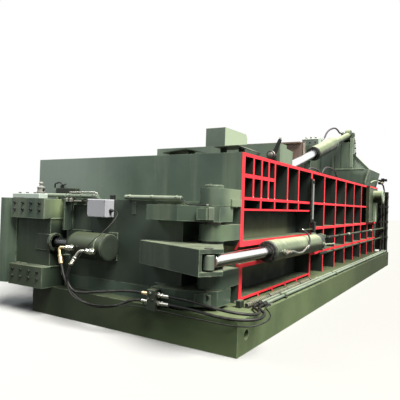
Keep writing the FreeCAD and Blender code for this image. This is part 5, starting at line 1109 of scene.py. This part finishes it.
def post_trim():
    piece = Piece("pale")
    # the pale tube and strips along the gusset's sloping edge, the beam's top edge and the post are painted
    # highlights on those edges
    piece.tube([(1.0, 8.41, 3.232), (1.40, 8.41, 2.817)], 0.016, 8)
    piece.block((0.50, 1.30), (8.345, 8.36), (2.79, 2.812), 0.003)
    piece.block((0.905, 0.985), (8.348, 8.36), (2.85, 3.66), 0.003)
    for i in range(6):
        piece.use("black" if i % 2 else "zinc")
        piece.nut((1.025 + 0.005 * i, 8.40, 3.62 - 0.07 * i), -Z, 0.022, 0.05)
    lead = [(1.05, 8.40, 3.27), (1.06, 8.38, 3.10), (1.12, 8.36, 2.98)]
    piece.use("black").tube(rounded(lead, 0.08), 0.012, 8)
    # a pale tube on the beam's slanted right edge: a painted highlight
    piece.use("pale").tube([(1.425, 8.30, 2.78), (1.335, 8.32, 2.42)], 0.022, 8)
    piece.use("steel")
    for x, way in ((0.665, -X), (0.99, X)):
        piece.cap((x, LID_PIVOT.y, LID_PIVOT.z), way, 0.055, 0.008, 0.05, 0.012, 28)
    piece.use("hull").block((0.70, 0.955), (8.556, 8.578), (3.40, 3.655), 0.003)
    piece.prism([(0.11, BEAM_TOP), (0.66, BEAM_TOP), (0.66, 3.56), (0.11, 3.24)], "y", 8.372, 8.386, 0.003)
    for x0, x1, z in ((0.66, 1.0, BEAM_TOP), (-1.10, 1.30, DECK_SEAM)):
        piece.bead((x0, 8.358, z), (x1, 8.358, z), 0.014)
    piece.ride("post_trim", "frame", "hull_paint")


RISER_Y = 10.165


def beam_unions():
    """The risers' nuts, the panel behind them and the pipes over the side cabinet."""
    piece = Piece("black")
    for i, x in enumerate((1.48, 1.55, 1.64)):
        for z in (0.62, 0.95, 1.45, 1.90):
            piece.nut((x, RISER_Y, z + 0.07 * i), Z, 0.047, 0.09)
    piece.block((1.321, 1.675), (10.185, 10.20), (0.46, 2.24), 0.004)
    piece.block((1.42, 1.50), (9.80, 10.02), (2.46, 2.60), 0.008)
    piece.block((1.50, 1.58), (9.86, 9.95), (2.52, 2.64), 0.006)
    piece.block((1.58, 1.66), (9.84, 9.97), (2.55, 2.62), 0.006)
    riser = [(1.44, 10.0, 2.50), (1.52, 10.10, 2.46), (1.55, RISER_Y, 2.30), (1.55, RISER_Y, 2.10)]
    piece.tube(rounded(riser, 0.09), 0.022, 10)
    piece.use("zinc").nut((1.50, 9.87, 2.50), X, 0.034, 0.07)
    piece.nut((1.46, 9.80, 2.52), -Y, 0.032, 0.10)
    feed = [(1.46, 9.74, 2.52), (1.46, 9.30, 2.53), (1.455, 8.9, 2.50), (1.43, 8.6, 2.43)]
    piece.use("pale").tube(rounded(feed, 0.12), 0.017, 8)
    piece.use("red").block((1.3985, 1.406), (8.68, 9.88), (2.305, DECK), 0.001)
    piece.block((WALL_X, 1.326), (9.88, 10.26), (2.305, DECK), 0.001)
    piece.ride("beam_unions", "frame", "zinc_fitting")


def cabinet_cover():
    """The side cabinet's round cover, duct and welds."""
    piece = Piece("cylinder")
    y, z = 9.35, 2.06
    piece.lathe((1.395, y, z), X, [
        (0, 0), (0, 0.185), (0.03, 0.185), (0.035, 0.178), (0.24, 0.178), (0.24, 0)], 44)
    piece.use("pale").lathe((1.395, y, z), X, [
        (0.23, 0), (0.23, 0.188), (0.235, 0.194), (0.262, 0.194), (0.27, 0.185), (0.27, 0.12), (0.262, 0.11),
        (0.262, 0)], 44)
    piece.block((CABINET_X, 1.47), (9.24, 9.40), (1.33, 1.90), 0.008)
    piece.use("steel").screw_circle((1.663, y, z), X, 0.152, 10, 0.014, piece.bolt)
    piece.use("hull").frame_bead(corners((8.69, 9.87), (1.33, 2.30)), "x", CABINET_X + 0.001)
    piece.ride("cabinet_cover", "frame", "hull_paint")


def lid_trim():
    piece = Piece("brown")
    piece.block((0.648, 0.735), (4.962, 4.998), (2.36, 3.098), 0.003)
    piece.use("hull").block((0.735, 0.87), (4.962, 4.998), (2.36, 2.68), 0.003)
    piece.frame_bead([(-0.17, 2.298), (0.215, 2.298), (0.217, 3.17), (-0.17, 3.17)], "z", DECK_SEAM, 0.010)
    piece.use("grey")
    for x, top in (((-1.002, -0.988), 3.068), ((0.706, 0.72), 3.068), ((-1.002, 0.65), 2.378)):
        piece.block(x, (4.948, 4.96), (2.36, top), 0.002)
    piece.use("steel")
    for x in (-0.9, -0.45, 0.5, 0.95):
        piece.bolt((x, 2.06, 2.50), -Y, 0.018)
    piece.ride("lid_trim", "lid", "hull_paint")


def valve_trim():
    piece = Piece("pale")
    low, base = LID_FLAT_Y + 2.24, LID_PIVOT.z
    piece.block((0.47, 0.655), (low - 0.012, low), (base - 0.02, base + 0.15), 0.003)
    for i in range(3):
        piece.use("zinc").nut((0.52 + 0.11 * i, low + 0.12, base + 0.278), Z, 0.03, 0.04)
        piece.use("black").cap_screw((0.50 + 0.13 * i, low, base + 0.20), -Y, 0.014)
    piece.use("zinc")
    for y in (low + 0.30, low + 0.42):
        piece.block((0.70, 0.79), (y, y + 0.05), (base + 0.155, base + 0.215), 0.005)
    piece.ride("valve_trim", "lid_cylinder", "hull_paint", tilt=LID_TILT)


def deck_trim():
    piece = Piece("black")
    for x in (-0.55, 0.35):
        piece.lathe((x, 1.05, DECK), Z, [
            (0, 0.03), (0.012, 0.03), (0.012, 0.018), (0.02, 0.018), (0.02, 0)], 16)
    piece.use("steel")
    for x, y in corners((-1.0, 1.18), (1.0, 1.7)):
        piece.cap((x, y, DECK), Z, 0.05, 0.01, 0.04, 0.012, 24)
    piece.ride("deck_fittings", "frame", "bare_steel")


def rear_plate_body():
    """The back end: a plate with a welded border, stiffeners and the main cylinders' bolted covers."""
    piece = Piece("hull")
    x0, x1, face, proud = -1.389, WALL_X, 10.232, 10.262
    piece.block((x0, x1), (10.10, face), (BASE_TOP, DECK), 0.006)
    for x in (x0, -0.82, 0.75, x1 - 0.06):
        piece.block((x, x + 0.06), (face - 0.005, proud), (BASE_TOP, DECK), 0.005)
    for z in (BASE_TOP, 0.47, 1.62, DECK - 0.06):
        piece.block((x0, x1), (face - 0.005, proud - 0.003), (z, z + 0.06), 0.005)
    for z in (0.53, 1.62, 1.68, 2.29):
        piece.bead((-0.76, face + 0.002, z), (0.75, face + 0.002, z), 0.008, 0.03)
    for x, z, radius, bolts in ((-0.035, 1.07, 0.44, 16), (-0.46, 1.98, 0.2, 8), (0.40, 1.98, 0.2, 8)):
        piece.use("cylinder").lathe((x, face - 0.004, z), Y, [
            (0, radius), (0.012, radius), (0.016, radius - 0.006), (0.016, 0.62 * radius),
            (0.008, 0.6 * radius), (0.008, 0)], 56)
        piece.use("steel").screw_circle((x, face + 0.010, z), Y, 0.84 * radius, bolts, 0.026, piece.bolt)
    piece.ride("rear_plate_body", "frame", "hull_paint", "rear_plate")


def wing_housing():
    """The side ram's housing on the left: outer plate with stiffeners and the cylinder's cover."""
    piece = Piece("hull")
    left, inner, right = -2.62, -2.56, -1.12
    front, back = 0.85, 2.12
    rear_inside, walls = 2.05, (BASE_TOP, DECK)
    piece.block((left + 0.022, inner), (front, back), walls, 0.005)
    for y in (front, 1.12, 1.72, back - 0.05):
        piece.block((left + 0.002, left + 0.03), (y, y + 0.05), walls)
    for z in (BASE_TOP, 0.60, 1.50, DECK - 0.05):
        piece.block((left + 0.004, left + 0.03), (front, back), (z, z + 0.05))
    piece.block((inner, right), (rear_inside, back - 0.014), walls)
    for x in (inner, -1.85, right - 0.27):
        piece.block((x, x + 0.05), (back - 0.02, back), walls)
    for z in ((DECK - 0.04, DECK), (BASE_TOP, 0.473)):
        piece.block((inner, right), (front, rear_inside), z)
    piece.block((-2.2, -1.6), (1.15, 1.75), (DECK, DECK + 0.02), 0.006)
    y, z = 1.45, 1.05
    piece.use("cylinder").lathe((left + 0.024, y, z), -X, [
        (0, 0.25), (0.009, 0.25), (0.012, 0.244), (0.012, 0.15), (0.006, 0.14), (0.006, 0)], 48)
    piece.use("steel").screw_circle((left + 0.018, y, z), -X, 0.2, 10, 0.018, piece.bolt)
    piece.bolts((-2.15, -1.65), (1.2, 1.45, 1.7), DECK + 0.02)
    piece.use("frame")
    for x, y in corners((-2.3, -1.5), (1.0, 1.85)):
        piece.block(about(x, 0.02), about(y, 0.07), (DECK, DECK + 0.022), 0.006)
    piece.ride("wing_housing", "frame", "hull_paint", "side_ram_housing")


def top_trim():
    """The roof's hatches with their handles, a pipe on feet, and the rear beam's lid and lugs."""
    piece = Piece("hull")
    hatch_top, beam_lid_top = 2.372, 2.822
    for y0, y1 in ((5.75, 6.75), (7.05, 8.05)):
        piece.use("hull").block((-0.75, 0.35), (y0, y1), (DECK, hatch_top), 0.006)
        piece.frame_bead(corners((-0.76, 0.36), (y0 - 0.01, y1 + 0.01)), "z", DECK_SEAM, 0.008)
        piece.use("steel").bolts((-0.70, -0.2, 0.30), (y0 + 0.05, y1 - 0.05), hatch_top)
        piece.use("black")
        near, far = about((y0 + y1) / 2, 0.08)
        for x in (-0.5, 0.1):
            handle = [(x, near, 2.37), (x, near, 2.43), (x, far, 2.43), (x, far, 2.37)]
            piece.tube(rounded(handle, 0.03), 0.009, 8)
    piece.use("pipe").tube([(-0.95, 5.6, 2.385), (-0.95, 8.35, 2.385)], 0.024)
    piece.use("black")
    for y in (5.8, 6.9, 8.0):
        piece.block(about(-0.95, 0.04), (y, y + 0.04), (DECK, 2.418), 0.005)
    piece.use("hull").block((-0.5, 0.5), (9.0, 9.7), (BEAM_TOP, beam_lid_top), 0.006)
    for x, y in corners((-0.9, 0.9), (8.9, 9.8)):
        piece.block(about(x, 0.02), about(y, 0.08), (BEAM_TOP, 2.90), 0.012)
    piece.use("steel").bolts((-0.45, 0, 0.45), (9.05, 9.65), beam_lid_top)
    piece.ride("top_fittings", "frame", "hull_paint")


rear_plate_body()
wing_housing()
top_trim()
hinge_trim()
front_plate_trim()
slot_corners()
corrugated_rail()
long_pipes()
pipe_trim()
lid_catch()
post_trim()
beam_unions()
cabinet_cover()
lid_trim()
valve_trim()
deck_trim()


# ---------------------------------------------------------------- stage
AMBIENT = 0.26
SOFT_PLACE, SOFT_TARGET = Vector((-4.5, -8.5, 6.5)), Vector((-2, -4.4, 2.2))
CAMERA_PLACE, CAMERA_LENS = (3.8136, -9.4244, 1.6474), 39.454


def stage_floor():
    half, z = 80.0, -0.002
    data = bpy.data.meshes.new("studio_floor")
    data.from_pydata([(*corner, z) for corner in corners((-half, half), (-half, half))], [], [(0, 1, 2, 3)])
    pale, tree, shader = new_material()
    seen = node(tree, "LightPath")["Is Camera Ray"]
    fill(shader, Base_Color=mix(tree, seen, (0.05, 0.055, 0.045, 1), (0.24, 0.24, 0.24, 1)), Roughness=0.9,
         Specular_IOR_Level=0.0)
    data.materials.append(pale)
    in_scene("studio_floor", data)


def light(name, kind, place, facing, energy, colour, **settings):
    data = bpy.data.lights.new(name, kind)
    data.energy = energy
    data.color = colour
    for key, value in settings.items():
        setattr(data, key, value)
    made = in_scene(name, data)
    made.location = place
    made.rotation_euler = Vector(facing).to_track_quat("-Z", "Y").to_euler()


def camera():
    """The photograph's camera, from the single-view measurement of the baler's edges."""
    yaw, pitch, roll = 0.5526, 0.0120, 0.0327
    look = Vector((-math.sin(yaw) * math.cos(pitch), math.cos(yaw) * math.cos(pitch), math.sin(pitch)))
    side = Vector((math.cos(yaw), math.sin(yaw), 0))
    upward = side.cross(look)
    right = math.cos(roll) * side + math.sin(roll) * upward
    top = math.cos(roll) * upward - math.sin(roll) * side
    data = bpy.data.cameras.new("camera")
    data.sensor_width = 36.0
    data.lens = CAMERA_LENS
    data.clip_end = 300.0
    basis = Matrix((right, top, -look)).transposed().to_4x4()
    basis.translation = CAMERA_PLACE
    made = in_scene("camera", data)
    made.matrix_world = basis
    bpy.context.scene.camera = made


def world():
    made = bpy.data.worlds.new("studio")
    made.use_nodes = True
    tree = made.node_tree
    path = node(tree, "LightPath")
    seen = times(tree, path["Is Camera Ray"], path["Is Glossy Ray"], "MAXIMUM")
    fill(tree.nodes["Background"], i0=mix(tree, seen, (0.88, 0.96, 1.0, 1), (1, 1, 1, 1)),
         i1=ramp(tree, seen, 0.0, 1.0, AMBIENT, 1.0))
    bpy.context.scene.world = made
    bpy.context.scene.view_settings.view_transform = "Standard"


stage_floor()
light("front_soft", "AREA", SOFT_PLACE, SOFT_TARGET - SOFT_PLACE, 300, (0.93, 0.98, 1.0),
      shape="RECTANGLE", size=4, size_y=2)
light("key_soft", "SUN", (0, 0, 0), (-0.48, 0.16, -0.86), 14.0, (1.0, 0.985, 0.92), angle=0.6)
world()
camera()
